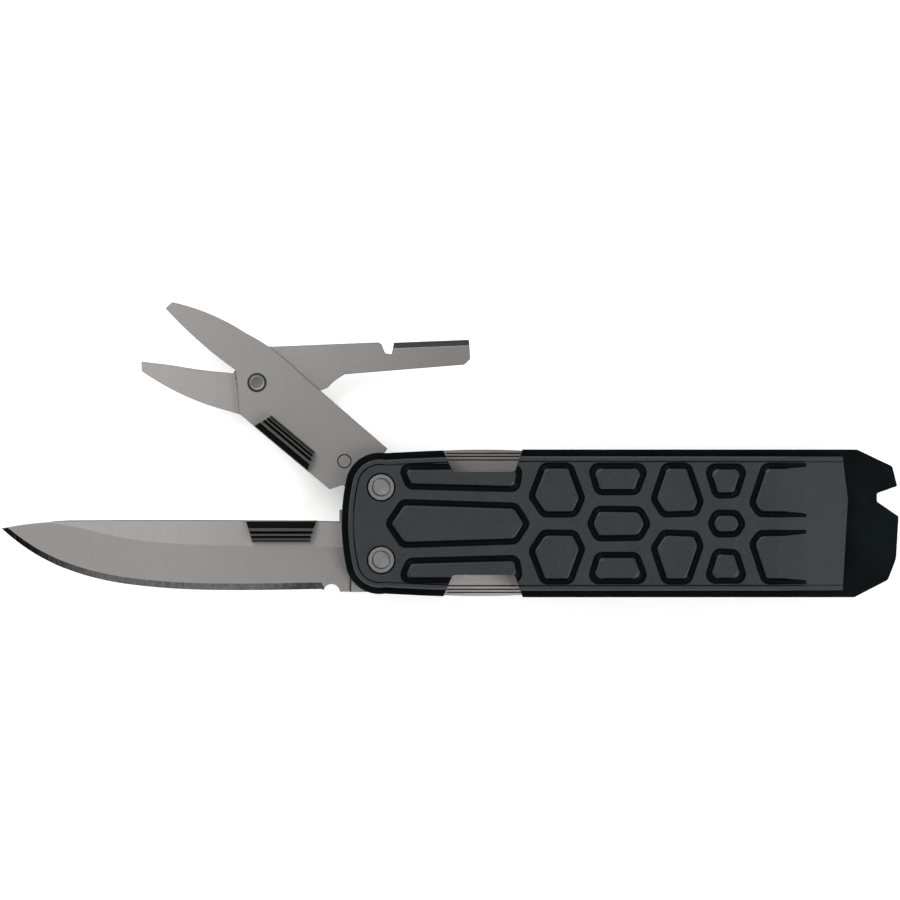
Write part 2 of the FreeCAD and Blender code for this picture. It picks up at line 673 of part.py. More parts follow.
def build_scissors_lever():
    """Rear plate about the rivet: lower blade, stripper notch and flat driver tip."""
    profile = [(2.7, 6.55), (22.0, 7.35), (22.6, 7.05), (23.3, 5.35), (24.5, 5.2),
               (24.9, 7.3), (38.6, 7.85, 0.3), (38.8, 4.35), (37.7, 3.3, 0.3), (15.9, 1.55),
               (13.9, 0.25), (12.8, -0.9), (11.7, -1.35), (7.0, -2.6), ("via", 3.4, -4.95),
               (-3.2, -5.75), (-7.7, -4.45), ("via", -15.0, -1.5), (-21.1, 2.1, 0.25),
               (-21.12, 3.87, 0.15), (-15.3, 3.15), ("via", -9.2, 2.2), (-4.4, 1.75),
               (-2.6, 4.3), ("via", -0.6, 6.0)]
    body = plate("scissors_lever", outline(profile), "lever_base", "lever_thick")
    drill(body, "lever_bore", "lever_base + lever_thick", "lever_thick",
          [("0", "0", "rivet_shaft + running_gap")])
    peg_x, peg_y = about_rivet(SIZES["peg_orbit"], PEG_ANGLE)
    turn = Rotation(Vector(0, 0, 1), BODY_ANGLE)
    spot = turn.multVec(Vector(peg_x - SIZES["rivet_x"], peg_y, 0))
    peg = sketch_on(body, "spring_peg", "lever_base + lever_thick")
    add_circle(peg, "%.4f" % spot.x, "%.4f" % spot.y, "peg_radius")
    pad(body, peg, "spring_recess - 0.1")
    place_x, place_y = rivet_world()
    stand_at(body, "%.4f" % place_x, "%.4f" % place_y)
    return body


def build_rivet():
    place = ("rivet_x", "0")
    rivet = fused("scissors_rivet", [
        cylinder("rivet_back", "rivet_head", "0.15", "lever_base - 0.17", *place),
        cylinder("rivet_shaft", "rivet_shaft", "z_tool_bay + plate_thick - lever_base + 0.02",
                 "lever_base - 0.02", *place),
        cylinder("rivet_front", "rivet_head", "0.45", "z_tool_bay + plate_thick - 0.3", *place)])
    washer = ring("rivet_washer_ring", "rivet_ring", "rivet_head", "0.32",
                  "z_tool_bay + plate_thick - 0.3", *place)
    washer = group("scissors_rivet_washer", [washer])
    anchor = fused("spring_anchor_pin", [
        cylinder("anchor_head", "anchor_radius", "plate_thick - spring_recess",
                 "z_tool_bay + spring_recess", "anchor_x", "anchor_y"),
        cylinder("anchor_peg", "peg_radius", "spring_recess - 0.05", "z_tool_bay + 0.05",
                 "anchor_x", "anchor_y")])
    for piece in (rivet, washer, anchor):
        stand_at(piece, *PIVOTS[0], BODY_ANGLE)
    return [rivet, washer, anchor]


def build_scissors_pad():
    shape = outline([(12.15, 6.5, 0.4), (13.4, 2.95, 0.6), (23.8, 2.95, 0.6),
                     (25.0, 6.5, 0.4)])
    body = new_body("scissors_thumb_pad")
    pad(body, sketch_on(body, "scissors_pad_outline", "z_tool_bay + plate_thick",
                        shapes=shape), "pad_height + 0.1")
    pegs = sketch_on(body, "scissors_pad_pegs", "z_tool_bay + 0.8")
    for x_text in ("15", "22"):
        add_circle(pegs, x_text, "4.7", "pad_peg")
    pad(body, pegs, "plate_thick - 0.8")
    stand_at(body, *PIVOTS[0], BODY_ANGLE)
    return body


# ---------------------------------------------------------------- assembly

def build_all():
    nodes = [build_front_scale(), build_back_scale(), build_pry_frame(), build_back_frame(),
             build_lock_liner(), build_rear_spacer(), build_lock_bar("scissors_lock_bar", 1, "scissors_block"),
             build_lock_bar("blade_lock_bar", -1, "blade_block"), build_blade_pin(),
             build_scissors_pin(),
             build_collars("front_pivot_collars", "z_front_scale",
                           "z_front_face - 0.3 - z_front_scale"),
             build_collars("back_pivot_collars", "0.3", "z_back_frame - 0.3"),
             build_stop_pins(), build_blade(), build_blade_pad(), build_scissors_body(),
             build_scissors_spring(), build_scissors_lever(), build_scissors_pad()]
    return nodes + build_washers() + build_screws() + build_rivet()


def write_steps(nodes):
    doc.recompute()
    failed = [item.Label for item in doc.Objects
              if {"Invalid", "Error"} & set(item.State)]
    assert not failed, "features failed: %s" % failed
    os.makedirs("parts", exist_ok=True)
    for node in nodes:
        shape = node.Shape
        assert not shape.isNull() and shape.isValid(), node.Label
        shape.exportStep("parts/%s.step" % node.Label)
        print("%-24s %9.2f mm3  %d solids" % (node.Label, shape.Volume, len(shape.Solids)))


write_steps(build_all())
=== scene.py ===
"""Looks of a pocket multi tool: every visible plate, pin and pad, with its finish."""

import logging
import math
from dataclasses import dataclass
from enum import Enum
from typing import Callable, Sequence

import bmesh
import bpy
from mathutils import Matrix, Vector


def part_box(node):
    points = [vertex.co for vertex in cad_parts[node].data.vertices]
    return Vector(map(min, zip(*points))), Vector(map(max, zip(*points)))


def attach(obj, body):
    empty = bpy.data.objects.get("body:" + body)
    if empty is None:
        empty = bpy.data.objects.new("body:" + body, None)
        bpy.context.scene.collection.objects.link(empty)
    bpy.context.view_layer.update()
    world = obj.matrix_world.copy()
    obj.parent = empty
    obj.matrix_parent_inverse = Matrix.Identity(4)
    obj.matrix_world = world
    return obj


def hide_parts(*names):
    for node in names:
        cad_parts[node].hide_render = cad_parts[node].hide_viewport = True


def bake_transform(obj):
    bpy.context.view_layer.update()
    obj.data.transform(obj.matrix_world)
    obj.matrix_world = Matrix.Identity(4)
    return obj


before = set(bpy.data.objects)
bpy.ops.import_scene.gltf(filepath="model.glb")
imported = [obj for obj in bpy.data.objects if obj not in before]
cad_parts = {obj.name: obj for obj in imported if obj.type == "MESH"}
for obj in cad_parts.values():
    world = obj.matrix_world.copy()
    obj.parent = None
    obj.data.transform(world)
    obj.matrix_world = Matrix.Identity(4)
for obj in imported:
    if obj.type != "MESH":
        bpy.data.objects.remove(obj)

Point = tuple[float, float]
Triple = tuple[float, float, float]
Piece = bpy.types.Object
Socket = bpy.types.NodeSocket

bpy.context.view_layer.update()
MM = 0.001
LOG = logging.getLogger("multi_tool")

PIVOTS: tuple[Point, ...] = ((-38.95, 6.57), (-38.95, -6.57))
RIVET: Point = (-61.61, 25.57)
ANCHOR: Point = (-45.70, 11.27)
HANDLE_SCREWS: tuple[Point, ...] = ((38.5, 6.5), (38.5, -6.5))


# ---- geometry helpers

def arc_through(first: Point, middle: Point, last: Point, steps: int) -> list[Point]:
    """Points along the circle through three points.

    Args:
        first: where the arc starts.
        middle: any point that it passes.
        last: where it ends.
        steps: number of chords.

    Returns:
        The points after the first, up to and with the last.
    """
    ax, ay, bx, by, cx, cy = *first, *middle, *last
    twice = 2 * (ax * (by - cy) + bx * (cy - ay) + cx * (ay - by))
    a2, b2, c2 = ax * ax + ay * ay, bx * bx + by * by, cx * cx + cy * cy
    ox = (a2 * (by - cy) + b2 * (cy - ay) + c2 * (ay - by)) / twice
    oy = (a2 * (cx - bx) + b2 * (ax - cx) + c2 * (bx - ax)) / twice
    radius = math.hypot(ax - ox, ay - oy)
    start = math.atan2(ay - oy, ax - ox)
    turn = math.atan2(cy - oy, cx - ox) - start
    via = (math.atan2(by - oy, bx - ox) - start) % (2 * math.pi)
    turn %= 2 * math.pi
    if via > turn:
        turn -= 2 * math.pi
    return [(ox + radius * math.cos(start + turn * i / steps),
             oy + radius * math.sin(start + turn * i / steps)) for i in range(1, steps + 1)]


def rounded(points: Sequence[Point], radius: float, steps: int = 5) -> list[Point]:
    """Outline with each corner rounded.

    Args:
        points: the corners in order.
        radius: radius of every corner, made smaller where a side is short.
        steps: chords in each corner's arc.

    Returns:
        The rounded outline's points.
    """
    made: list[Point] = []
    count = len(points)
    for index in range(count):
        here = Vector(points[index])
        back, ahead = Vector(points[index - 1]) - here, Vector(points[(index + 1) % count]) - here
        half = back.angle(ahead) / 2
        reach = min(radius / math.tan(half), 0.45 * back.length, 0.45 * ahead.length)
        start, end = here + back.normalized() * reach, here + ahead.normalized() * reach
        middle = here + (back.normalized() + ahead.normalized()).normalized() * (
            reach / math.cos(half) - reach * math.tan(half))
        made.append(tuple(start))
        if half < 1.5:
            made += arc_through(tuple(start), tuple(middle), tuple(end), steps)
        else:
            made.append(tuple(end))
    return made


def grown(points: Sequence[Point], distance: float) -> list[Point]:
    """Outline moved outwards by a distance, whichever way round its points run."""
    area = sum(x0 * y1 - x1 * y0 for (x0, y0), (x1, y1) in zip(points, [*points[1:], points[0]]))
    sign = 1 if area > 0 else -1
    made: list[Point] = []
    count = len(points)
    for index, (x, y) in enumerate(points):
        before = (Vector((x, y)) - Vector(points[index - 1])).normalized()
        after = (Vector(points[(index + 1) % count]) - Vector((x, y))).normalized()
        side = Vector((before.y + after.y, -before.x - after.x)) * sign
        shift = side * (2 * distance / max(side.length_squared, 1e-9))
        made.append((x + shift.x, y + shift.y))
    return made


def flipped(points: Sequence[Point]) -> list[Point]:
    """The same outline on the other side of the tool's long axis."""
    return [(x, -y) for x, y in reversed(points)]


def circle(x: float, y: float, radius: float, count: int = 64) -> list[Point]:
    """Round outline with a number of points."""
    return [(x + radius * math.cos(2 * math.pi * i / count),
             y + radius * math.sin(2 * math.pi * i / count)) for i in range(count)]


def smooth_line(knots: Sequence[Point]) -> Callable[[float], float]:
    """Smooth curve y(x) through knots in rising x, flat beyond its ends.

    Args:
        knots: the points that the curve passes.

    Returns:
        A function that gives y for an x.
    """
    def height(x: float) -> float:
        """The curve's y at x."""
        if x <= knots[0][0]:
            return knots[0][1]
        if x >= knots[-1][0]:
            return knots[-1][1]
        i = max(k for k in range(len(knots) - 1) if knots[k][0] <= x)
        (x0, y0), (x1, y1) = knots[i], knots[i + 1]
        before = knots[i - 1] if i else knots[i]
        after = knots[i + 2] if i + 2 < len(knots) else knots[i + 1]
        span = x1 - x0
        slope0 = (y1 - before[1]) / (x1 - before[0]) * span
        slope1 = (after[1] - y0) / (after[0] - x0) * span
        s = (x - x0) / span
        return ((2 * s**3 - 3 * s**2 + 1) * y0 + (s**3 - 2 * s**2 + s) * slope0
                + (3 * s**2 - 2 * s**3) * y1 + (s**3 - s**2) * slope1)
    return height


def heights(node: str) -> tuple[float, float]:
    """Lowest and highest point of a CAD node, in millimetres."""
    low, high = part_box(node)
    return low.z / MM, high.z / MM


def off_pivot(spot: Vector) -> float:
    """Distance in plan from a place to the nearer pivot."""
    return min(math.hypot(spot.x - x, spot.y - y) for x, y in PIVOTS)


# ---- bench operations

class Bench:
    """Modelling operations shared by the sub-assemblies. All sizes are millimetres."""

    @staticmethod
    def clear() -> None:
        """Leave edit mode and deselect everything."""
        if bpy.context.object and bpy.context.object.mode != "OBJECT":
            bpy.ops.object.mode_set(mode="OBJECT")
        bpy.ops.object.select_all(action="DESELECT")

    @staticmethod
    def pick(piece: Piece) -> None:
        """Make one piece the only selected and active one."""
        Bench.clear()
        piece.select_set(True)
        bpy.context.view_layer.objects.active = piece

    @staticmethod
    def edit(piece: Piece) -> None:
        """Open a piece in edit mode with everything on it selected."""
        Bench.pick(piece)
        bpy.ops.object.mode_set(mode="EDIT")
        bpy.ops.mesh.select_all(action="SELECT")

    @staticmethod
    def prism(name: str, outline: Sequence[Point], low: float, high: float) -> Piece:
        """Flat plate: a filled ring of points drawn up to its thickness.

        Args:
            name: the new piece's name.
            outline: its plan, closed.
            low: height of the lower face.
            high: height of the upper face.

        Returns:
            The new piece.
        """
        Bench.clear()
        bpy.ops.mesh.primitive_circle_add(vertices=len(outline), radius=MM, fill_type="NGON")
        piece = bpy.context.active_object
        piece.name = name
        for vertex, (x, y) in zip(piece.data.vertices, outline):
            vertex.co = (x * MM, y * MM, low * MM)
        Bench.edit(piece)
        bpy.ops.mesh.extrude_region_move(
            TRANSFORM_OT_translate={"value": (0, 0, (high - low) * MM)})
        bpy.ops.mesh.select_all(action="SELECT")
        bpy.ops.mesh.normals_make_consistent(inside=False)
        bpy.ops.object.mode_set(mode="OBJECT")
        return piece

    @staticmethod
    def skin(name: str, sections: Sequence[Sequence[Triple]], closed: bool = False) -> Piece:
        """Skin through rings of points, made from a grid that is wrapped and welded.

        Args:
            name: the new piece's name.
            sections: the rings in order, each with the same number of points.
            closed: True where the last ring joins the first, as on a hoop.

        Returns:
            The new piece, with its ends filled unless it is closed.
        """
        rows = [*sections, sections[0]] if closed else list(sections)
        around = len(rows[0])
        Bench.clear()
        bpy.ops.mesh.primitive_grid_add(
            x_subdivisions=around, y_subdivisions=len(rows) - 1, size=MM)
        piece = bpy.context.active_object
        piece.name = name
        for row, ring in enumerate(rows):
            for column in range(around + 1):
                spot = ring[column % around]
                piece.data.vertices[row * (around + 1) + column].co = [c * MM for c in spot]
        Bench.edit(piece)
        bpy.ops.mesh.remove_doubles(threshold=1e-7)
        if not closed:
            bpy.ops.mesh.select_all(action="DESELECT")
            bpy.ops.mesh.select_mode(type="EDGE")
            bpy.ops.mesh.select_non_manifold(extend=False)
            bpy.ops.mesh.edge_face_add()
            bpy.ops.mesh.select_mode(type="VERT")
            bpy.ops.mesh.select_all(action="SELECT")
        bpy.ops.mesh.normals_make_consistent(inside=False)
        bpy.ops.object.mode_set(mode="OBJECT")
        return piece

    @staticmethod
    def turned(name: str, x: float, y: float, profile: Sequence[Point], count: int = 64
               ) -> Piece:
        """Lathe work about an upright axis.

        Args:
            name: the new piece's name.
            x: the axis's place along the tool.
            y: the axis's place across it.
            profile: radius and height of each turned edge, from the first face to the last.
            count: facets around.

        Returns:
            The new piece.
        """
        rings = [[(x + r * math.cos(2 * math.pi * i / count),
                   y + r * math.sin(2 * math.pi * i / count), z) for i in range(count)]
                 for r, z in profile]
        return Bench.skin(name, rings, closed=profile[0][0] > 0.01)

    @staticmethod
    def carve(piece: Piece, cutter: Piece) -> None:
        """Cut a cutter's shape out of a piece and throw the cutter away."""
        Bench.pick(piece)
        cut = piece.modifiers.new("carve", "BOOLEAN")
        cut.object = cutter
        cut.operation = "DIFFERENCE"
        cut.solver = "EXACT"
        bpy.ops.object.modifier_apply(modifier=cut.name)
        bpy.data.objects.remove(cutter)

    @staticmethod
    def soften(piece: Piece, width: float, segments: int = 2, angle: float = 32.0) -> None:
        """Round a piece's sharp edges a little and shade its curves smooth.

        Args:
            piece: the piece.
            width: width of the rounding.
            segments: facets across it.
            angle: edges turning by more than this, in degrees, are rounded.
        """
        Bench.pick(piece)
        bevel = piece.modifiers.new("soften", "BEVEL")
        bevel.width = width * MM
        bevel.segments = segments
        bevel.limit_method = "ANGLE"
        bevel.angle_limit = math.radians(angle)
        bevel.use_clamp_overlap = False
        bevel.miter_outer = "MITER_ARC"
        bevel.harden_normals = True
        bpy.ops.object.shade_smooth_by_angle(angle=math.radians(angle))
        bpy.ops.object.modifier_apply(modifier=bevel.name)

    @staticmethod
    def shade(piece: Piece, angle: float = 35.0) -> None:
        """Shade a piece smooth, with its large flats kept flat.

        Args:
            piece: the piece.
            angle: edges turning by more than this, in degrees, stay sharp.
        """
        Bench.pick(piece)
        bpy.ops.object.shade_smooth_by_angle(angle=math.radians(angle))
        even = piece.modifiers.new("even", "WEIGHTED_NORMAL")
        even.keep_sharp = True
        even.weight = 100
        bpy.ops.object.modifier_apply(modifier=even.name)

    @staticmethod
    def mark(piece: Piece, finish: "Finish", test: Callable[[Vector, Vector], bool]) -> None:
        """Give some of a piece's faces another finish.

        Args:
            piece: the piece, which has its main finish already.
            finish: the finish of those faces.
            test: says by a face's centre, in millimetres, and its normal whether it is one.
        """
        piece.data.materials.append(finish.material())
        index = len(piece.data.materials) - 1
        for face in piece.data.polygons:
            if test(face.center / MM, face.normal):
                face.material_index = index

    @staticmethod
    def join(name: str, pieces: Sequence[Piece]) -> Piece:
        """Several pieces made one, under a name."""
        Bench.pick(pieces[0])
        for piece in pieces:
            piece.select_set(True)
        bpy.ops.object.join()
        pieces[0].name = name
        return pieces[0]

    @staticmethod
    def copied(node: str, name: str) -> Piece:
        """Copy of a CAD node with its flats merged into whole faces.

        Args:
            node: the CAD node.
            name: the new piece's name.

        Returns:
            The new piece, which doesn't ride on anything yet.
        """
        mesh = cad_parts[node].data.copy()
        piece = bpy.data.objects.new(name, mesh)
        bpy.context.scene.collection.objects.link(piece)
        mesh.materials.clear()
        Bench.pick(piece)
        if mesh.has_custom_normals:
            bpy.ops.mesh.customdata_custom_splitnormals_clear()
        Bench.edit(piece)
        bpy.ops.mesh.remove_doubles(threshold=2e-6)
        bpy.ops.mesh.dissolve_limited(angle_limit=math.radians(0.6))
        bpy.ops.object.mode_set(mode="OBJECT")
        return piece

    @staticmethod
    def finish_piece(piece: Piece, body: str, node: str, finish: "Finish") -> None:
        """Dress a piece, let it ride on its body and stand for its CAD node.

        Args:
            piece: the piece.
            body: the CAD body that it moves with.
            node: the CAD node that it replaces.
            finish: its finish.
        """
        finish.dress(piece)
        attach(piece, body)
        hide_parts(node)
        LOG.info("%s rides on %s with %d faces", piece.name, body, len(piece.data.polygons))

    @staticmethod
    def turned_piece(name: str, centre: Point, profile: Sequence[Point], body: str, node: str,
                     finish: "Finish") -> Piece:
        """Lathe work, shaded and finished as a piece of its own.

        Args:
            name: the new piece's name.
            centre: where its axis stands.
            profile: radius and height of each turned edge.
            body: the CAD body that it moves with.
            node: the CAD node that it replaces.
            finish: its finish.

        Returns:
            The new piece.
        """
        piece = Bench.turned(name, *centre, profile)
        Bench.shade(piece)
        Bench.finish_piece(piece, body, node, finish)
        return piece


# ---- finishes

def add_node(tree: bpy.types.NodeTree, kind: str, inputs: dict, output: "str | int" = 0,
             **settings: str) -> Socket:
    """Add a shader node with its inputs set or fed.

    Args:
        tree: the node tree that it goes into.
        kind: the node's type, without the prefix.
        inputs: by name or number, a value or the socket that feeds the input.
        output: name or number of the output that is wanted.
        settings: the node's own properties.

    Returns:
        The output's socket.
    """
    node = tree.nodes.new("ShaderNode" + kind)
    for key, value in settings.items():
        setattr(node, key, value)
    for key, value in inputs.items():
        if isinstance(value, Socket):
            tree.links.new(value, node.inputs[key])
        else:
            node.inputs[key].default_value = value
    return node.outputs[output]


class Board:
    """Small helper that lays out a material's nodes."""

    def __init__(self, name: str) -> None:
        """Start an empty node material with a principled shader."""
        self.material = bpy.data.materials.new(name)
        self.material.use_nodes = True
        self.tree = self.material.node_tree
        self.tree.nodes.clear()
        self.shader = self.tree.nodes.new("ShaderNodeBsdfPrincipled")
        output = self.tree.nodes.new("ShaderNodeOutputMaterial")
        self.tree.links.new(self.shader.outputs["BSDF"], output.inputs["Surface"])

    def place(self, scale: Triple = (1, 1, 1), turn: float = 0.0, shift: Triple = (0, 0, 0)
              ) -> Socket:
        """Object coordinates in millimetres, scaled, after a turn about the vertical.

        Args:
            scale: scale along the turned axes.
            turn: angle in degrees.
            shift: origin of the pattern in millimetres.

        Returns:
            The vector socket.
        """
        moved = add_node(self.tree, "Mapping", {
            "Vector": add_node(self.tree, "TexCoord", {}, "Object"),
            "Location": [c * MM for c in shift], "Rotation": (0, 0, math.radians(turn)),
            "Scale": (MM, MM, MM)}, "Vector", vector_type="TEXTURE")
        return add_node(self.tree, "Mapping", {"Vector": moved, "Scale": scale}, "Vector")

    def along(self) -> Socket:
        """Place along the tool in millimetres."""
        return add_node(self.tree, "SeparateXYZ", {0: self.place()}, "X")

    def noise(self, vector: Socket, scale: float, detail: float = 3.0,
              roughness: float = 0.55) -> Socket:
        """Noise pattern with a scale in waves per millimetre."""
        return add_node(self.tree, "TexNoise", {"Vector": vector, "Scale": scale,
                                                "Detail": detail, "Roughness": roughness}, "Fac")

    def ramp(self, factor: Socket, low: float, high: float, to_low: float, to_high: float
             ) -> Socket:
        """Map a factor from one range to another, held at the ends."""
        return add_node(self.tree, "MapRange", {
            "Value": factor, "From Min": low, "From Max": high, "To Min": to_low,
            "To Max": to_high}, "Result")

    def sum(self, first: Socket, second: Socket, share: float) -> Socket:
        """First factor plus a share of the second."""
        return add_node(self.tree, "Math", {0: second, 1: share, 2: first}, "Value",
                        operation="MULTIPLY_ADD")

    def bump(self, height: Socket, depth: float, strength: float = 0.5) -> None:
        """Relief on the surface, with its depth in millimetres."""
        self.drive("Normal", add_node(self.tree, "Bump", {
            "Height": height, "Distance": depth * MM, "Strength": strength}, "Normal"))

    def drive(self, name: str, value: "Socket | float | Sequence[float]") -> None:
        """Feed one of the shader's inputs from a socket, or set it."""
        if isinstance(value, Socket):
            self.tree.links.new(value, self.shader.inputs[name])
        else:
            self.shader.inputs[name].default_value = value

    def cover(self, finish: "Finish", tone: Socket, wear: Socket,
              span: Point = (0.3, 0.7), metal: float = 0.0) -> None:
        """Give the shader a finish's colour, roughness and gloss.

        Args:
            finish: the finish.
            tone: factor between its two levels.
            wear: pattern that runs between its two roughnesses.
            span: the part of the wear's range that is used.
            metal: 1 for bare metal, 0 for a coating or a moulding.
        """
        dark, light = finish.tones()
        self.drive("Base Color", add_node(self.tree, "Mix", {
            "A": (*dark, 1), "B": (*light, 1), "Factor": tone}, "Result", data_type="RGBA"))
        self.drive("Roughness", self.ramp(wear, *span, *finish.roughness))
        self.drive("Metallic", metal)
        self.drive("Specular IOR Level", finish.gloss)


@dataclass(frozen=True)
class Finish:
    """A surface finish: its name, the record's slot and the range of its brightness."""

    name: str
    slot: str
    levels: Point
    roughness: Point
    tint: Triple = (1.0, 1.0, 1.0)
    gloss: float = 0.5

    def tones(self) -> list[Triple]:
        """The darkest and the lightest colour."""
        return [tuple(level * t for t in self.tint) for level in self.levels]

    def material(self) -> bpy.types.Material:
        """The finish's material, made once."""
        known = bpy.data.materials.get(self.name)
        if known:
            return known
        board = Board(self.name)
        self.lay(board)
        return board.material

    def lay(self, board: Board) -> None:
        """Lay out the pattern; each kind of finish has its own."""
        raise NotImplementedError

    def dress(self, piece: Piece) -> None:
        """Give a piece this finish all over."""
        piece.data.materials.clear()
        piece.data.materials.append(self.material())


@dataclass(frozen=True)
class MouldedGrip(Finish):
    """Spark-textured moulding: a fine leathery grain with cloudy tone."""

    def lay(self, board: Board) -> None:
        """Lay out the moulded grain."""
        grain = board.noise(board.place(), 3.2, 4.0, 0.65)
        cloud = board.noise(board.place(), 0.28)
        board.cover(self, board.ramp(board.sum(grain, cloud, 0.7), 0.55, 1.15, 0, 1), grain)
        board.bump(grain, 0.045, 0.55)


@dataclass(frozen=True)
class BlackOxide(Finish):
    """Blackened steel: nearly even, with faint clouds of wear and a fine tooth."""

    def lay(self, board: Board) -> None:
        """Lay out the worn clouds and the tooth."""
        tooth = board.noise(board.place(), 6.0, 3.0, 0.6)
        tone = board.sum(board.noise(board.place(), 0.16, 4.0), tooth, 0.25)
        board.cover(self, board.ramp(tone, 0.45, 0.85, 0, 1), tone, (0.4, 0.9))
        board.bump(tooth, 0.02, 0.4)


@dataclass(frozen=True)
class SatinSteel(Finish):
    """Satin steel with long faint strokes along one direction."""

    stroke: float = 0.0
    stretch: float = 22.0
    depth: float = 0.006
    sweep: Point = (-38.0, -80.0)

    def lay(self, board: Board) -> None:
        """Lay out the strokes over a blasted ground that lightens along the tool towards the
        blade's end; on the blade, the darker part by the handle is painted shade.
        """
        strokes = board.noise(board.place((1 / self.stretch, 1, 1), self.stroke), 5.0, 4.0, 0.7)
        blast = board.noise(board.place(), 7.0, 2.0)
        cloud = board.noise(board.place(), 0.05, 2.0)
        # darker towards the handle end of the sweep: on the blade this is painted shade where the
        # handle shades it
        inward_darkening = board.ramp(board.along(), *self.sweep, 0.0, 0.8)
        grain = board.sum(board.ramp(strokes, 0.3, 0.7, -0.5, 0.5), blast, 0.5)
        tone = board.sum(board.sum(inward_darkening, grain, 0.16), cloud, 0.2)
        board.cover(self, tone, strokes, metal=1.0)
        board.bump(board.sum(strokes, blast, 0.6), self.depth)


@dataclass(frozen=True)
class TurnedSteel(Finish):
    """Lathe-turned steel with fine rings about the nearer of several axes."""

    centres: tuple[Point, ...] = ((0.0, 0.0),)
    pitch: float = 0.16

    def lay(self, board: Board) -> None:
        """Lay out the rings."""
        radii = [add_node(board.tree, "VectorMath", {0: board.place((1, 1, 0), 0.0, (x, y, 0))},
                          "Value", operation="LENGTH") for x, y in self.centres]
        nearest = radii[0]
        for radius in radii[1:]:
            nearest = add_node(board.tree, "Math", {0: nearest, 1: radius}, operation="MINIMUM")
        rings = add_node(board.tree, "Math", {0: nearest, 1: self.pitch / 2},
                         operation="PINGPONG")
        lines = board.ramp(rings, 0.0, self.pitch / 2, 0.0, 1.0)
        blast = board.noise(board.place(), 4.0)
        tone = board.sum(board.ramp(blast, 0.3, 0.7, 0, 0.8), lines, 0.2)
        board.cover(self, tone, blast, metal=1.0)
        board.bump(board.sum(lines, blast, 0.7), 0.008)


@dataclass(frozen=True)
class RibbedPolymer(Finish):
    """Hard black polymer with a slight moulded sheen."""

    def lay(self, board: Board) -> None:
        """Lay out the fine grain."""
        grain = board.noise(board.place(), 5.0, 3.0, 0.6)
        board.cover(self, board.ramp(grain, 0.3, 0.7, 0, 1), grain)
        board.bump(grain, 0.02, 0.4)


@dataclass(frozen=True)
class GroundEdge(Finish):
    """Sharpened bevel: close scratches across the edge, with painted shade that turns nearly black
    towards the point.
    """

    tip: Point = (-104.0, -90.0)
    heel: Point = (-62.0, -54.0)

    def lay(self, board: Board) -> None:
        """Lay out the scratches and the painted shade, darker at the point and a little darker at
        the heel.
        """
        scratches = board.noise(board.place((1, 1 / 14, 1), 12.0), 4.0, 4.0, 0.75)
        # painted shade on the bevel, darkest at the point and a little dark at the heel
        tip_shade = board.ramp(board.along(), *self.tip, -0.72, 0.0)
        heel_shade = board.ramp(board.along(), *self.heel, 0.72, 0.3)
        tone = board.sum(board.sum(heel_shade, tip_shade, 1.0),
                         board.ramp(scratches, 0.35, 0.7, -1, 1), 0.2)
        board.cover(self, tone, scratches, metal=1.0)
        board.bump(scratches, 0.01)


@dataclass(frozen=True)
class PaleFloor(Finish):
    """Plain pale table top with a faint paper tooth, lit a little from below."""

    glow: float = 0.3

    def lay(self, board: Board) -> None:
        """Lay out the tooth and the glow."""
        tooth = board.noise(board.place(), 0.6, 2.0)
        board.cover(self, tooth, tooth)
        board.drive("Emission Color", (*self.tones()[1], 1))
        board.drive("Emission Strength", self.glow)


COOL: Triple = (0.86, 1.03, 1.12)
NIGHT: Triple = (0.55, 1.1, 1.3)
WARM: Triple = (1.04, 1.0, 0.97)
BRASSY: Triple = (1.1, 0.75, 0.4)

GRIP = MouldedGrip("moulded_grip", "grip_scale", (0.0135, 0.0215), (0.38, 0.55), COOL, 0.38)
# painted shade: near-black moulding laid into the grooves, the crease and the pivot recesses, where
# shade falls
GROOVE_SHADE = MouldedGrip("painted_groove_shade", "grip_scale", (0.0015, 0.003), (0.35, 0.5), COOL, 0.05)
BLACK = BlackOxide("black_oxide", "black_steel", (0.0018, 0.0042), (0.42, 0.6), NIGHT, 0.045)
SCREW = BlackOxide("blackened_screw", "screw_steel", (0.012, 0.022), (0.3, 0.45))
RIVET_RING = BlackOxide("rivet_ring_black", "black_steel", (0.004, 0.006), (0.5, 0.6))
# painted shade: near-black on the upright walls of the pins and collars, in the narrow gaps where
# shade falls
SEAM_SHADE = BlackOxide("painted_seam_shade", "pivot_steel", (0.004, 0.008), (0.5, 0.6), gloss=0.1)
# the sweep darkens the blade towards the handle's nose: painted shade
BLADE = SatinSteel("satin_blade", "blade_steel", (0.46, 0.62), (0.37, 0.4), WARM,
                   stroke=90.0, depth=0.0012, sweep=(-46.0, -80.0))
TOOL = SatinSteel("satin_tool", "tool_steel", (0.35, 0.44), (0.39, 0.42), WARM,
                  stroke=50.0, stretch=8.0, depth=0.0015)
LEVER = SatinSteel("satin_lever", "tool_steel", (0.295, 0.53), (0.39, 0.42), WARM,
                   stroke=5.0, stretch=8.0, depth=0.0015, sweep=(-26.0, -80.0))
LINER = SatinSteel("satin_liner", "liner_steel", (0.36, 0.44), (0.3, 0.42), WARM, stretch=14.0)
# painted light: a brighter copy of the tab steel for the lower tab, which catches more light
LIT_TAB = SatinSteel("painted_lit_tab", "liner_steel", (0.76, 0.86), (0.36, 0.48), WARM, stretch=14.0)
TAB = SatinSteel("satin_tab", "liner_steel", (0.34, 0.42), (0.36, 0.48), WARM, stretch=14.0)
# painted shade: dark steel on edges, roundings, chamfers, slopes and tab grooves, which face away
# from the light
EDGE_SHADE = SatinSteel("painted_edge_shade", "tool_steel", (0.05, 0.09), (0.4, 0.5), stroke=90.0)
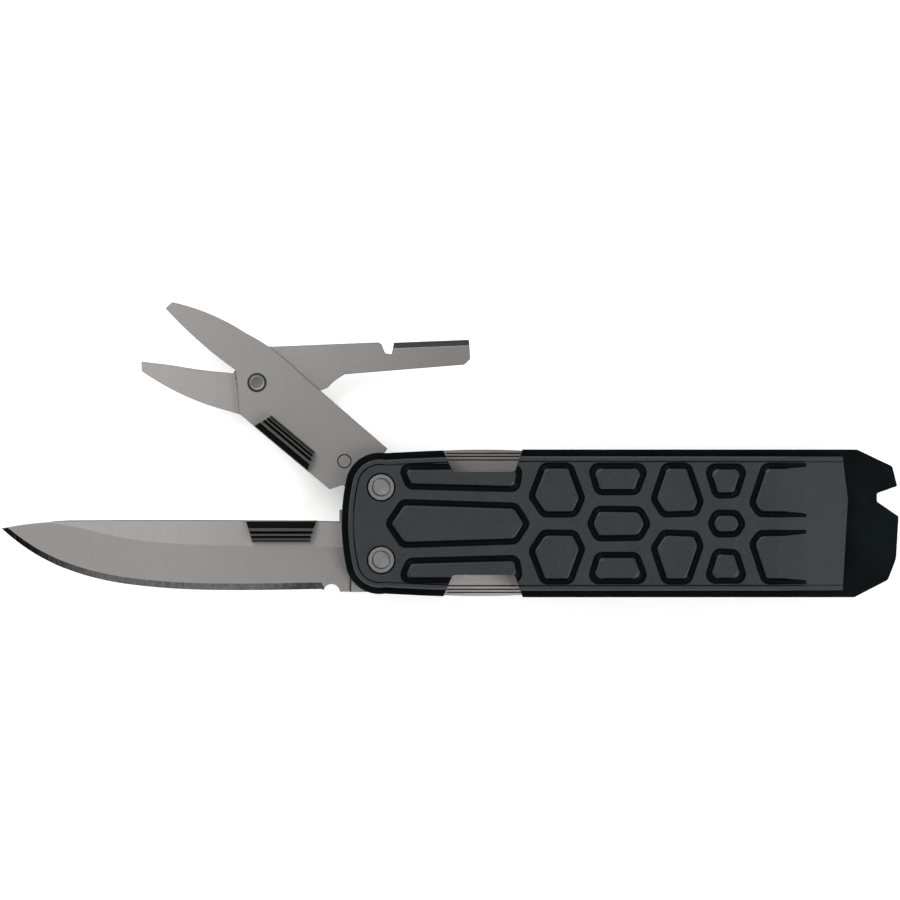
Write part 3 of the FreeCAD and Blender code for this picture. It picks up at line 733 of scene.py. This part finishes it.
# painted shade: darker steel in the rivet head's dimple
DIMPLE_SHADE = SatinSteel("painted_dimple_shade", "pivot_steel", (0.15, 0.2), (0.4, 0.5))
SPRING = SatinSteel("drawn_spring", "spring_steel", (0.3, 0.4), (0.25, 0.4), stroke=140.0)
# partly painted shade: the bevel's scratches are real, its dark tone stands for the shade of the
# tilted bevel
EDGE = GroundEdge("ground_edge_shade", "blade_steel", (0.012, 0.34), (0.3, 0.5))
PIVOT = TurnedSteel("turned_pivot", "pivot_steel", (0.255, 0.34), (0.35, 0.5), centres=PIVOTS)
RIVET_STEEL = TurnedSteel("turned_rivet", "pivot_steel", (0.30, 0.38), (0.35, 0.5),
                          centres=(RIVET, ANCHOR))
BRONZE = TurnedSteel("turned_bronze", "bronze", (0.35, 0.5), (0.3, 0.4), BRASSY, centres=PIVOTS)
PAD = RibbedPolymer("ribbed_pad", "thumb_pad", (0.001, 0.002), (0.2, 0.3), gloss=0.16)
# painted highlight: lighter polymer on the ridge tops of the thumb pads
CREST_HIGHLIGHT = RibbedPolymer("painted_crest_highlight", "thumb_pad", (0.03, 0.055), (0.3, 0.4))
FLOOR = PaleFloor("pale_floor", "grip_scale", (0.86, 0.9), (0.6, 0.7))


# ---- handle

class Face(Enum):
    """Which side of the handle a grip scale covers."""

    FRONT = 1
    BACK = -1


@dataclass
class GripScale:
    """Moulded grip scale with its honeycomb of grooves."""

    face: Face
    node: str
    inset: float = 1.25
    rim: float = 0.28
    crease: float = 0.92
    depth: float = 0.5
    corner: float = 1.45

    HALF_WIDTH = 13.4
    RECESS = 2.62
    PATTERN_ENDS = (-43.9, 39.5)
    PATTERN_HALF = 11.7
    FALLS = ((33.0, 13.3, 4.6, 0.45), (37.6, 12.85, 8.9, 1.25))
    CELLS = (
        ((-9.7, 10.55), (-11.9, 4.9), (-9.64, 1.55), (-3.9, 1.6), (-2.5, 4.55), (-4.7, 10.55)),
        ((-1.3, 10.5), (0.16, 5.6), (7.3, 5.6), (9.1, 10.5)),
        ((12.3, 10.55), (10.2, 4.4), (12.05, 1.55), (18.0, 1.75), (18.9, 4.0), (16.65, 10.55)),
        ((19.8, 10.4), (21.5, 4.95), (25.3, 5.1), (26.95, 10.4)),
        ((-35.5, 10.35), (-34.0, 6.65), (-14.35, 6.15), (-13.75, 10.35)),
        ((43.5, 10.55), (30.3, 10.5), (28.0, 3.6), (29.4, 1.65), (43.5, 1.5)),
    )
    MIDDLE_CELLS = (
        ((-37.8, 0), (-35.1, -3.95), (-14.6, -3.3), (-12.45, 0), (-14.6, 3.3), (-35.1, 3.95)),
        ((-1.3, 0), (0, -2.75), (7.9, -2.65), (9.35, 0), (7.9, 2.65), (0, 2.75)),
        ((20.5, 0), (21.5, -2.05), (25.3, -2.0), (26.6, 0), (25.3, 2.0), (21.5, 2.05)),
    )
    WINDOW = ((-28.5, 15.0), (-26.05, 9.29), (-14.7, 9.29), (-12.7, 15.0))

    def outline(self, inset: float) -> list[Point]:
        """Plan of the scale at an inset from the handle's edge."""
        half = self.HALF_WIDTH - inset
        nose = -46.15 + inset
        cheek = (-45.2 + inset, 8.5 - 0.3 * inset)
        end = 44.6 if inset < 1.5 else 46.4
        upper: list[Point] = [(end, half - 0.05), (-13.0, half)]
        upper += arc_through((-13.0, half), (-26.0, half - 0.12), (-38.3, half - 0.65), 6)
        upper += arc_through((-38.3, half - 0.65), (-43.3 + 0.75 * inset, 11.35 - 0.7 * inset),
                             cheek, 10)
        upper += arc_through(cheek, (nose, 0), (cheek[0], -cheek[1]), 24)[:12]
        return upper + [(x, -y) for x, y in reversed(upper[:-1])] + [(end + 0.95, 4.4)]

    def build(self) -> None:
        """Model the scale and dress it."""
        low, high = heights(self.node)
        self.outer = high if self.face is Face.FRONT else low
        self.sign = self.face.value
        name = "moulded_%s_scale" % self.face.name.lower()
        piece = Bench.prism(name, self.outline(self.inset), low, high)
        self.chamfer_rim(piece)
        if self.face is Face.FRONT:
            self.slope_end(piece)
        self.carve_pattern(piece)
        Bench.shade(piece)
        Bench.finish_piece(piece, "handle", self.node, GRIP)
        # paint shade into the grooves, the crease and the pivot recesses
        Bench.mark(piece, GROOVE_SHADE, self.in_shade)

    def in_shade(self, spot: Vector, normal: Vector) -> bool:
        """Whether a face lies in a groove, in the crease or down a pivot's recess, where the
        near-black painted shade goes.
        """
        if self.gap(spot) < 0.5:
            return False
        below = self.sign * (self.outer - spot.z) - self.drop(spot.x)
        recess = off_pivot(spot) < self.RECESS - 0.02
        start, end = self.PATTERN_ENDS
        pattern = (abs(spot.y) < self.PATTERN_HALF and start < spot.x < end
                   and below < self.depth + 0.2)
        return (recess or pattern) and below > 0.09 and (recess or below > 0.2
                                                         or abs(normal.z) < 0.8)

    def gap(self, spot: Vector) -> float:
        """Distance from a place to the scale's edge in plan."""
        here, edge = spot.xy, [Vector(point) for point in self.outline(self.inset)]
        gaps = []
        for start, end in zip(edge, [*edge[1:], edge[0]]):
            run = end - start
            share = max(0.0, min(1.0, (here - start).dot(run) / max(run.length_squared, 1e-9)))
            gaps.append((here - start - run * share).length)
        return min(gaps)

    def chamfer_rim(self, piece: Piece) -> None:
        """Bevel the rim of the outer face in edit mode."""
        Bench.edit(piece)
        bpy.ops.mesh.select_all(action="DESELECT")
        bpy.ops.mesh.select_mode(type="EDGE")
        work = bmesh.from_edit_mesh(piece.data)
        for edge in work.edges:
            edge.select = all(abs(v.co.z - self.outer * MM) < 1e-7 for v in edge.verts)
        bmesh.update_edit_mesh(piece.data)
        bpy.ops.mesh.bevel(offset=self.rim * MM, segments=1, affect="EDGES")
        bpy.ops.mesh.select_mode(type="VERT")
        bpy.ops.object.mode_set(mode="OBJECT")

    def slope_end(self, piece: Piece) -> None:
        """Slice the two falling flats of the pry end off the outer face."""
        for x, z, run, fall in self.FALLS:
            Bench.edit(piece)
            bpy.ops.mesh.bisect(plane_co=(x * MM, 0, z * MM),
                                plane_no=Vector((fall, 0, run)).normalized(),
                                use_fill=True, clear_outer=True, threshold=1e-7)
            bpy.ops.object.mode_set(mode="OBJECT")

    def carve_pattern(self, piece: Piece) -> None:
        """Cut windows, pivot recesses, grooves and the crease inside the rim."""
        far = self.outer + self.sign * 3.0
        near = self.outer - self.sign * 3.2
        levels = sorted((near, far))
        for x, y in PIVOTS:
            Bench.carve(piece, Bench.prism("recess", circle(x, y, self.RECESS), *levels))
        if self.face is Face.FRONT:
            for plan in (list(self.WINDOW), flipped(self.WINDOW)):
                Bench.carve(piece, Bench.prism("window", rounded(plan, 0.8, 6), *levels))
        else:
            self.carve_screw_seats(piece, levels)
        cells = [*self.CELLS, *(flipped(c) for c in self.CELLS), *self.MIDDLE_CELLS]
        for cell in cells:
            Bench.carve(piece, self.groove_cutter(list(cell)))
        self.carve_crease(piece)

    def carve_screw_seats(self, piece: Piece, levels: list[float]) -> None:
        """Counterbore the back scale for the two handle screws."""
        for x, y in HANDLE_SCREWS:
            Bench.carve(piece, Bench.prism("shaft", circle(x, y, 1.06, 32), *levels))
            Bench.carve(piece, Bench.prism("seat", circle(x, y, 1.98, 48), -2.0, 1.6))

    def wall(self, cell: Sequence[Point], spread: float, height: float) -> list[Triple]:
        """One ring of a groove's wall, at a spread from the centre line and a height."""
        plan = rounded(grown(cell, spread), self.corner + 0.5 * spread, 5)
        return [(x, y, self.outer + self.sign * height) for x, y in plan]

    def groove_cutter(self, cell: list[Point]) -> Piece:
        """Ring-shaped cutter: steep outer wall, flat floor and an island side that rolls over."""
        rings = [self.wall(cell, spread, height) for spread, height in (
            (0.56, 0.3), (0.53, 0.0), (0.47, -0.08), (0.43, -self.depth), (-0.22, -self.depth),
            (-0.38, -0.38), (-0.50, -0.22), (-0.66, -0.09), (-0.86, -0.015), (-0.93, 0.3))]
        return Bench.skin("groove", rings, closed=True)

    def carve_crease(self, piece: Piece) -> None:
        """Fine line that runs just inside the rim's chamfer."""
        inside = self.inset + self.crease
        rings = []
        for spread, height in ((-0.2, 0.25), (-0.05, -0.2), (0.05, -0.2), (0.2, 0.25)):
            plan = self.outline(inside + spread)
            folds = [x for x, *_ in self.FALLS]
            plan = [plan[0], *((x, plan[0][1]) for x in reversed(folds)), *plan[1:-2],
                    *((x, plan[-2][1]) for x in folds), *plan[-2:]]
            rings.append([(x, y, self.outer + self.sign * (height - self.drop(x)))
                          for x, y in plan])
        Bench.carve(piece, Bench.skin("crease", rings, closed=True))

    def drop(self, x: float) -> float:
        """How far the outer face has fallen at x, towards the pry end of the front."""
        (first, _, run, fall), (second, _, far_run, far_fall) = self.FALLS
        if self.face is Face.BACK or x <= first:
            return 0.0
        if x <= second:
            return fall * (x - first) / run
        return fall + far_fall * (x - second) / far_run


@dataclass
class HandlePlates:
    """Steel plates, spacer and lock springs of the handle."""

    edge_break: float = 0.12

    RIBS = (11.45, 12.1, 12.65)
    RIB_HALF = 0.11
    RIB_RUN = (-15.5, -12.0)

    def build(self) -> None:
        """Model and dress each plate."""
        for node, name, finish, width in (
                ("pry_frame", "pry_plate", BLACK, self.edge_break),
                ("back_frame", "back_plate", BLACK, self.edge_break),
                ("lock_liner", "liner_plate", LINER, self.edge_break / 2),
                ("rear_spacer", "spacer_block", BLACK, self.edge_break)):
            piece = Bench.copied(node, name)
            Bench.soften(piece, width, 2, 40.0)
            Bench.finish_piece(piece, "handle", node, finish)
        for node, name, body, finish in (
                ("scissors_lock_bar", "scissors_lock_spring", "scissors_lock", TAB),
                # the blade lock's tab takes the painted lit copy of the tab steel
                ("blade_lock_bar", "blade_lock_spring", "blade_lock", LIT_TAB)):
            piece = Bench.copied(node, name)
            self.lengthen_ribs(piece)
            Bench.soften(piece, 0.05, 2, 30.0)
            Bench.finish_piece(piece, body, node, finish)
            # painted shade in the tab's grip grooves
            Bench.mark(piece, EDGE_SHADE, self.in_rib)

    def lengthen_ribs(self, bar: Piece) -> None:
        """Run a tab's three grip grooves on to its end."""
        top = heights("lock_liner")[1]
        side = 1 if "scissors" in bar.name else -1
        start, end = self.RIB_RUN
        for y in self.RIBS:
            near, far = side * (y - self.RIB_HALF), side * (y + self.RIB_HALF)
            plan = [(start, near), (end, near), (end, far), (start, far)]
            Bench.carve(bar, Bench.prism("rib", plan, top - 0.25, top + 1.0))

    @staticmethod
    def in_rib(spot: Vector, normal: Vector) -> bool:
        """Whether a face of a lock tab lies in one of its three grip grooves, which take the
        painted shade.
        """
        depth = heights("lock_liner")[1] - spot.z
        return spot.x < -13.0 and abs(spot.y) > 11.2 and 0.06 < depth < 0.6


@dataclass
class PivotSet:
    """Pivot pins, collars, washers, stops and screws."""

    chamfer: float = 0.14

    def build(self) -> None:
        """Turn the pins and collars and dress the CAD fasteners."""
        self.collars("front_pivot_collars", 1)
        self.collars("back_pivot_collars", -1)
        self.pin("scissors_pivot_pin", PIVOTS[0], 1.25, 1.25)
        self.pin("blade_pivot_pin", PIVOTS[1], 1.3, 1.15)
        self.screws()
        for node, finish in (("stop_pins", PIVOT), ("blade_washer", BRONZE),
                             ("scissors_washers", BRONZE), ("front_scale_screws", SCREW),
                             ("back_scale_screws", SCREW)):
            finish.dress(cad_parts[node])

    def collars(self, node: str, sign: int) -> None:
        """Pair of chamfered collars round the pin heads."""
        low, high = heights(node)
        outer, inner = (high, low) if sign > 0 else (low, high)
        c = self.chamfer
        profile = [(1.66, inner), (1.66, outer - sign * 0.04), (1.7, outer),
                   (2.44 - c, outer), (2.44, outer - sign * c), (2.44, inner)]
        pair = [Bench.turned("collar", x, y, profile) for x, y in PIVOTS]
        piece = Bench.join(node.replace("pivot", "turned"), pair)
        Bench.shade(piece)
        Bench.finish_piece(piece, "handle", node, PIVOT)
        # painted shade on the collars' inner walls round the pin heads
        Bench.mark(piece, SEAM_SHADE, lambda spot, normal: abs(normal.z) < 0.5
                   and off_pivot(spot) < 1.7)

    @staticmethod
    def pin(node: str, centre: Point, below: float, body: float) -> None:
        """Shouldered pin with a domed head at each end.

        Args:
            node: the CAD pin.
            centre: its pivot.
            below: its radius under the blade's back face.
            body: its radius above that.
        """
        low, high = heights(node)
        shoulder = heights("blade")[0]
        head, head_top, head_foot = 1.55, 2.2, 10.9
        profile = [(0.0, low + 0.05), (0.9, low + 0.02), (head - 0.2, low), (head, low + 0.15),
                   (head, head_top), (below, head_top), (below, shoulder), (body, shoulder),
                   (body, head_foot), (head, head_foot), (head, high - 0.15),
                   (head - 0.2, high), (0.9, high - 0.02), (0.0, high - 0.05)]
        piece = Bench.turned_piece(node.replace("pivot_pin", "turned_pin"), centre, profile,
                                   "handle", node, PIVOT)
        # painted shade on the pin's upright walls
        Bench.mark(piece, SEAM_SHADE, lambda spot, normal: abs(normal.z) < 0.5)

    @staticmethod
    def screws() -> None:
        """Two handle screws with a six-sided driver socket in the back."""
        low, high = heights("handle_screws")
        profile = [(0.0, low), (1.65, low), (1.9, low + 0.25), (1.9, low + 1.1),
                   (1.0, low + 1.1), (1.0, high - 0.3), (0.7, high), (0.0, high)]
        made = []
        for x, y in HANDLE_SCREWS:
            screw = Bench.turned("screw", x, y, profile, 48)
            Bench.carve(screw, Bench.prism("socket", circle(x, y, 0.95, 6), low - 0.5, low + 0.7))
            made.append(screw)
        piece = Bench.join("socket_screws", made)
        Bench.soften(piece, 0.05, 2)
        Bench.finish_piece(piece, "handle", "handle_screws", SCREW)


# ---- knife

@dataclass
class KnifeBlade:
    """Drop-point blade: flat spine band, long grind, sharpened bevel, choil and tang."""

    tip: float = -108.05
    heel: float = -49.9
    notch: float = -44.75
    plunge: float = 0.32
    tang_radius: float = 6.0
    thickness: float = 2.0
    bevel_half: float = 0.3
    slope: float = 0.105
    stations: int = 96

    PIVOT = PIVOTS[1]
    LIP = 0.52
    EDGE_WIDTH = 1.2
    SPINE = ((-108.05, -0.9), (-104.5, -0.28), (-100.0, 0.2), (-95.4, 0.5), (-57.0, 0.5),
             (-46.2, 0.3))
    BELLY = ((-108.05, -1.02), (-106.8, -2.14), (-105.2, -3.42), (-103.3, -4.78), (-101.3, -6.0),
             (-99.2, -7.1), (-96.7, -8.2), (-91.7, -9.82), (-85.4, -11.07), (-75.6, -11.98),
             (-64.5, -12.2), (-49.9, -12.0))
    GRIND = ((-99.5, 0.15), (-94.5, -0.75), (-87.5, -2.35), (-81.7, -3.3), (-72.0, -3.95),
             (-61.7, -4.1), (-42.0, -4.45))

    def build(self) -> None:
        """Model the blade with its pad."""
        low, high = heights("blade")
        self.middle = (low + high) / 2
        piece = Bench.skin("knife_blade", [self.section(x) for x in self.places()])
        Bench.carve(piece, Bench.prism("choil", circle(-48.05, -12.6, 1.5, 48), 4.0, 10.0))
        Bench.carve(piece, Bench.prism("bore", circle(*self.PIVOT, 1.2, 48), 4.0, 10.0))
        Bench.pick(piece)
        bpy.ops.object.shade_smooth_by_angle(angle=math.radians(1.5))
        Bench.finish_piece(piece, "blade", "blade", BLADE)
        Bench.mark(piece, EDGE, self.on_edge)
        # painted shade on the spine's chamfer and on the plunge slope
        Bench.mark(piece, EDGE_SHADE, self.on_spine)
        Bench.mark(piece, EDGE_SHADE, self.on_plunge)
        ThumbPad("blade_thumb_pad", "blade", (-63.7, 0.5), 0.0, 13.08, 3.93, 1.2).build()

    def places(self) -> list[float]:
        """Stations along the blade, closer together at the point and round the tang."""
        count = self.stations
        fine = [self.tip + 0.02 + (self.heel - self.tip - 0.02) * (i / count) ** 1.5
                for i in range(count + 1)]
        end = self.PIVOT[0] + self.tang_radius
        start = self.notch + self.plunge
        tang = [start + (end - start - 0.01) * math.sin(math.pi / 2 * i / 20) for i in range(21)]
        choil = [self.heel + step for step in (0.25, 0.5, 0.75, 1.0, 3.0)]
        return [*fine, *choil, self.notch, *tang]

    def section(self, x: float) -> list[Triple]:
        """Ring of ten points round the blade at one station."""
        half = self.thickness / 2
        spine, belly = smooth_line(self.SPINE)(x), smooth_line(self.BELLY)(x)
        width = min(self.EDGE_WIDTH, 0.9 * (spine - belly))
        grind = min(smooth_line(self.GRIND)(x), spine - 0.16)
        bevel, land, edge = belly + width, min(self.bevel_half, 0.2 * (spine - belly) + 0.01), 0.015
        full = min(half, land + self.slope * max(grind - bevel, 0.0))
        if x > self.heel:
            belly = self.BELLY[-1][1] - self.LIP * min(1.0, x - self.heel)
            bevel = belly + 0.06 + 1.1 * max(0.0, 1.0 - (x - self.heel) / 0.9)
            land = max(full - self.slope * (grind - bevel), 0.08)
            edge = land - 0.06
        if x > self.notch:
            reach = math.sqrt(max(self.tang_radius ** 2 - (x - self.PIVOT[0]) ** 2, 0.0))
            spine, belly = min(spine, self.PIVOT[1] + reach), max(belly, self.PIVOT[1] - reach)
            if x < self.PIVOT[0]:
                belly = self.BELLY[-1][1] - self.LIP
            grind, bevel = spine - 0.3 * (spine - belly), belly + 0.1 * (spine - belly)
            full, land, edge = half, half, half - 0.1
        swage = min(0.13, 0.3 * (spine - grind))
        across = [(spine, full - 0.7 * swage), (spine - swage, full), (grind, full), (bevel, land),
                  (belly, edge)]
        return ([(x, y, self.middle + z) for y, z in across]
                + [(x, y, self.middle - z) for y, z in reversed(across)])

    def on_edge(self, spot: Vector, normal: Vector) -> bool:
        """Whether a face belongs to the sharpened bevel."""
        belly = smooth_line(self.BELLY)(spot.x)
        width = min(self.EDGE_WIDTH, 0.9 * (smooth_line(self.SPINE)(spot.x) - belly))
        return spot.x < self.heel + 0.75 and spot.y < belly + 0.5 * width + 0.12

    def on_plunge(self, spot: Vector, normal: Vector) -> bool:
        """Whether a face belongs to the short slope where the grind meets the tang, which takes
        painted shade.
        """
        return self.notch < spot.x < self.notch + self.plunge and abs(normal.x) > 0.2

    def on_spine(self, spot: Vector, normal: Vector) -> bool:
        """Whether a face belongs to the spine's chamfer and side, painted darker as shade along the
        spine.
        """
        if spot.x < -99.0:
            return normal.y > 0.7 and abs(normal.z) < 0.3
        return spot.x < self.notch and spot.y > 0.12 and abs(normal.z) < 0.95


@dataclass
class ThumbPad:
    """Ribbed grip pad: a low outer band and three ridges, with slanted ends."""

    node: str
    body: str
    corner: Point
    angle: float
    length: float
    width: float
    slant: float

    LEAN = 0.25
    RIBS = ((0.0, 0.42), (0.04, 0.64), (0.3, 0.68), (0.35, 0.94), (0.38, 1.0), (0.44, 1.0),
            (0.49, 0.94), (0.54, 0.66), (0.58, 0.66), (0.61, 0.94), (0.63, 1.0), (0.67, 1.0),
            (0.71, 0.94), (0.75, 0.66), (0.79, 0.66), (0.81, 0.94), (0.83, 1.0), (0.87, 1.0),
            (0.96, 0.6), (1.0, 0.45), (1.0, 0.0), (0.0, 0.0))

    def build(self) -> None:
        """Model the pad along its tool."""
        low = heights("blade" if self.body == "blade" else "scissors_body")[1]
        high = heights(self.node)[1]
        turn = math.radians(self.angle)
        along = Vector((math.cos(turn), math.sin(turn)))
        across = Vector((along.y, -along.x))
        rings = []
        for start, sense in ((0.0, 1), (self.length, -1)):
            ring = []
            for share, rise in self.RIBS:
                u = start + sense * (share * self.slant + self.LEAN * rise)
                spot = Vector(self.corner) + along * u + across * (share * self.width)
                ring.append((spot.x, spot.y, low + rise * (high - low)))
            rings.append(ring)
        piece = Bench.skin("ribbed_" + self.node, rings)
        Bench.shade(piece, 30.0)
        Bench.finish_piece(piece, self.body, self.node, PAD)
        # painted highlight on the ridge tops, above this height
        crest = low + 0.955 * (high - low)
        Bench.mark(piece, CREST_HIGHLIGHT, lambda spot, normal: spot.z > crest and abs(normal.z) > 0.5)


# ---- scissors

@dataclass
class Scissors:
    """Scissors: front plate, rear lever, rivet, spring and pad."""

    edge_break: float = 0.07
    angle: float = 140.03

    def build(self) -> None:
        """Model and dress the scissors' pieces."""
        plate = Bench.copied("scissors_body", "scissors_front_plate")
        lever = Bench.copied("scissors_lever", "scissors_rear_lever")
        self.bevel_bar(lever)
        for piece, body, node, finish in ((plate, "scissors", "scissors_body", TOOL),
                                          (lever, "scissors_lever", "scissors_lever", LEVER)):
            Bench.soften(piece, self.edge_break, 2, 30.0)
            Bench.finish_piece(piece, body, node, finish)
            # painted shade on the upright edges and roundings
            Bench.mark(piece, EDGE_SHADE, self.upright)
        self.rivet()
        self.rivet_ring()
        self.anchor()
        self.spring()
        corner = self.spot(12.1, 6.45)
        ThumbPad("scissors_thumb_pad", "scissors", corner, self.angle, 12.9, 3.55, 1.2).build()

    @staticmethod
    def upright(spot: Vector, normal: Vector) -> bool:
        """Whether a face stands on a plate's edge or on its rounding, where painted shade goes."""
        return abs(normal.z) < 0.93

    @staticmethod
    def bevel_bar(lever: Piece) -> None:
        """Slope the front of the lever's bar along its outer edge, from the notch to the tip."""
        low, high = heights("scissors_lever")
        plate = low + 1.1
        rings = [[(x, y - 1.45, plate + 0.27), (x, y + 0.5, plate - 0.98), (x, y + 0.5, high + 1)]
                 for x, y in ((-36.75, 32.85), (-22.5, 33.42))]
        Bench.carve(lever, Bench.skin("bar_bevel", rings))

    def spot(self, along: float, across: float) -> Point:
        """A place on the front plate, from the pivot along and across the plate."""
        turn = math.radians(self.angle)
        x, y = PIVOTS[0]
        return (x + along * math.cos(turn) - across * math.sin(turn),
                y + along * math.sin(turn) + across * math.cos(turn))

    @staticmethod
    def rivet() -> None:
        """Rivet with a dimpled head."""
        low, high = heights("scissors_rivet")
        profile = [(0.0, low), (1.2, low), (1.35, low + 0.1), (1.35, low + 0.16), (1.0, low + 0.17),
                   (1.0, high - 0.46), (1.34, high - 0.45), (1.34, high - 0.1), (1.22, high),
                   (1.06, high - 0.02), (1.0, high - 0.08), (0.5, high - 0.11), (0.0, high - 0.12)]
        piece = Bench.turned_piece("dimpled_rivet", RIVET, profile, "scissors",
                                   "scissors_rivet", RIVET_STEEL)
        # painted shade inside the dimple
        Bench.mark(piece, DIMPLE_SHADE, lambda spot, normal: spot.z > high - 0.16
                   and math.hypot(spot.x - RIVET[0], spot.y - RIVET[1]) < 1.04)

    @staticmethod
    def rivet_ring() -> None:
        """Black ring seated round the rivet's head."""
        low, high = heights("scissors_rivet_washer")
        profile = [(1.36, low), (1.36, high - 0.02), (1.5, high), (1.7, high - 0.05), (1.7, low)]
        Bench.turned_piece("rivet_seat_ring", RIVET, profile, "scissors",
                           "scissors_rivet_washer", RIVET_RING)

    def anchor(self) -> None:
        """Flush pin that holds the spring's fixed end, with painted shade on its upright sides
        round it.
        """
        low, high = heights("spring_anchor_pin")
        profile = [(0.0, low), (0.55, low), (0.55, low + 0.45), (1.24, low + 0.45),
                   (1.24, high - 0.14), (1.1, high), (0.0, high)]
        piece = Bench.turned_piece("spring_anchor", ANCHOR, profile, "scissors",
                                   "spring_anchor_pin", TOOL)
        # painted shade on the pin's upright sides
        Bench.mark(piece, EDGE_SHADE, self.upright)

    def spring(self) -> None:
        """Flat wire spring that bends between the front plate and the lever."""
        low, high = heights("scissors_spring")
        orbit, half, reach = 3.6, 0.28, 29.57
        path = [Vector((9.35, 1.28)), Vector((19.2, 2.4))]
        path += [Vector((reach + orbit * math.cos(math.radians(a)),
                         orbit * math.sin(math.radians(a)))) for a in range(100, 32, -6)]
        rings = []
        for index, here in enumerate(path):
            ahead = (path[min(index + 1, len(path) - 1)] - path[max(index - 1, 0)]).normalized()
            side = Vector((-ahead.y, ahead.x)) * half
            corners = ((here + side, high), (here - side, high), (here - side, low),
                       (here + side, low))
            rings.append([(*self.spot(p.x, p.y), z) for p, z in corners])
        piece = Bench.skin("return_spring", rings)
        Bench.soften(piece, 0.05, 2)
        SPRING.dress(piece)
        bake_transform(piece)
        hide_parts("scissors_spring")
        LOG.info("%s bends between the scissors and their lever", piece.name)


# ---- studio

@dataclass
class Studio:
    """Pale floor, soft light and the camera straight above."""

    centre: Point = (-26.5, 13.3)
    span: float = 163.64
    lens: float = 200.0
    sensor: float = 36.0
    clearance: float = 0.008
    floor_drop: float = 0.0002
    sides: float = 1.35
    mirrored: float = 0.5
    overhead: float = 0.34

    def build(self) -> None:
        """Set the floor, the lights, the world and the camera."""
        self.lay_floor()
        self.hang_lights()
        self.fill_world()
        self.set_camera()
        bpy.context.scene.view_settings.view_transform = "Standard"

    def lay_floor(self) -> None:
        """Pale floor just under the handle's back face."""
        Bench.clear()
        bpy.ops.mesh.primitive_plane_add(size=3.0, location=(0, 0, -self.floor_drop))
        floor = bpy.context.active_object
        floor.name = "floor"
        bpy.ops.object.transform_apply(location=True, rotation=True, scale=True)
        FLOOR.dress(floor)

    def hang_lights(self) -> None:
        """Large soft lamps at the upper left and lower right."""
        for name, place, size, power in (
                ("key_lamp", (-0.35, 0.45, 0.7), 0.5, 4.0),
                ("fill_lamp", (0.5, -0.35, 0.7), 0.4, 3.5)):
            data = bpy.data.lights.new(name, "AREA")
            data.size = size
            data.energy = power
            lamp = bpy.data.objects.new(name, data)
            lamp.location = place
            lamp.rotation_mode = "QUATERNION"
            lamp.rotation_quaternion = (-Vector(place)).to_track_quat("-Z", "Y")
            bpy.context.scene.collection.objects.link(lamp)

    def fill_world(self) -> None:
        """White surroundings, dimmer overhead, as under a camera, and in reflections."""
        world = bpy.data.worlds.new("studio")
        world.use_nodes = True
        tree = world.node_tree
        background = tree.nodes["Background"]
        background.inputs["Color"].default_value = (1.0, 1.0, 1.0, 1.0)
        direction = add_node(tree, "TexCoord", {}, "Generated")
        fade = add_node(tree, "MapRange", {
            "Value": add_node(tree, "SeparateXYZ", {0: direction}, "Z"), "From Min": 0.5,
            "From Max": 0.97, "To Min": self.sides, "To Max": self.overhead}, "Result",
            interpolation_type="SMOOTHSTEP")
        dim = add_node(tree, "MapRange", {
            "Value": add_node(tree, "LightPath", {}, "Is Glossy Ray"), "To Min": 1.0,
            "To Max": self.mirrored}, "Result")
        product = add_node(tree, "Math", {0: fade, 1: dim}, operation="MULTIPLY")
        tree.links.new(product, background.inputs["Strength"])
        bpy.context.scene.world = world

    def set_camera(self) -> None:
        """Long lens straight above the open tool."""
        data = bpy.data.cameras.new("overhead")
        data.lens = self.lens
        data.sensor_width = self.sensor
        height = self.span * MM * self.lens / self.sensor
        data.clip_end = 10.0
        camera = bpy.data.objects.new("overhead", data)
        camera.location = (self.centre[0] * MM, self.centre[1] * MM, height + self.clearance)
        bpy.context.scene.collection.objects.link(camera)
        bpy.context.scene.camera = camera


def main() -> None:
    """Build the tool piece by piece, then the studio round it."""
    logging.basicConfig(level=logging.INFO, format="%(name)s: %(message)s")
    Bench.clear()
    for part in (GripScale(Face.FRONT, "front_scale"), GripScale(Face.BACK, "back_scale"),
                 HandlePlates(), PivotSet(), KnifeBlade(), Scissors(), Studio()):
        part.build()


if __name__ == "__main__":
    main()
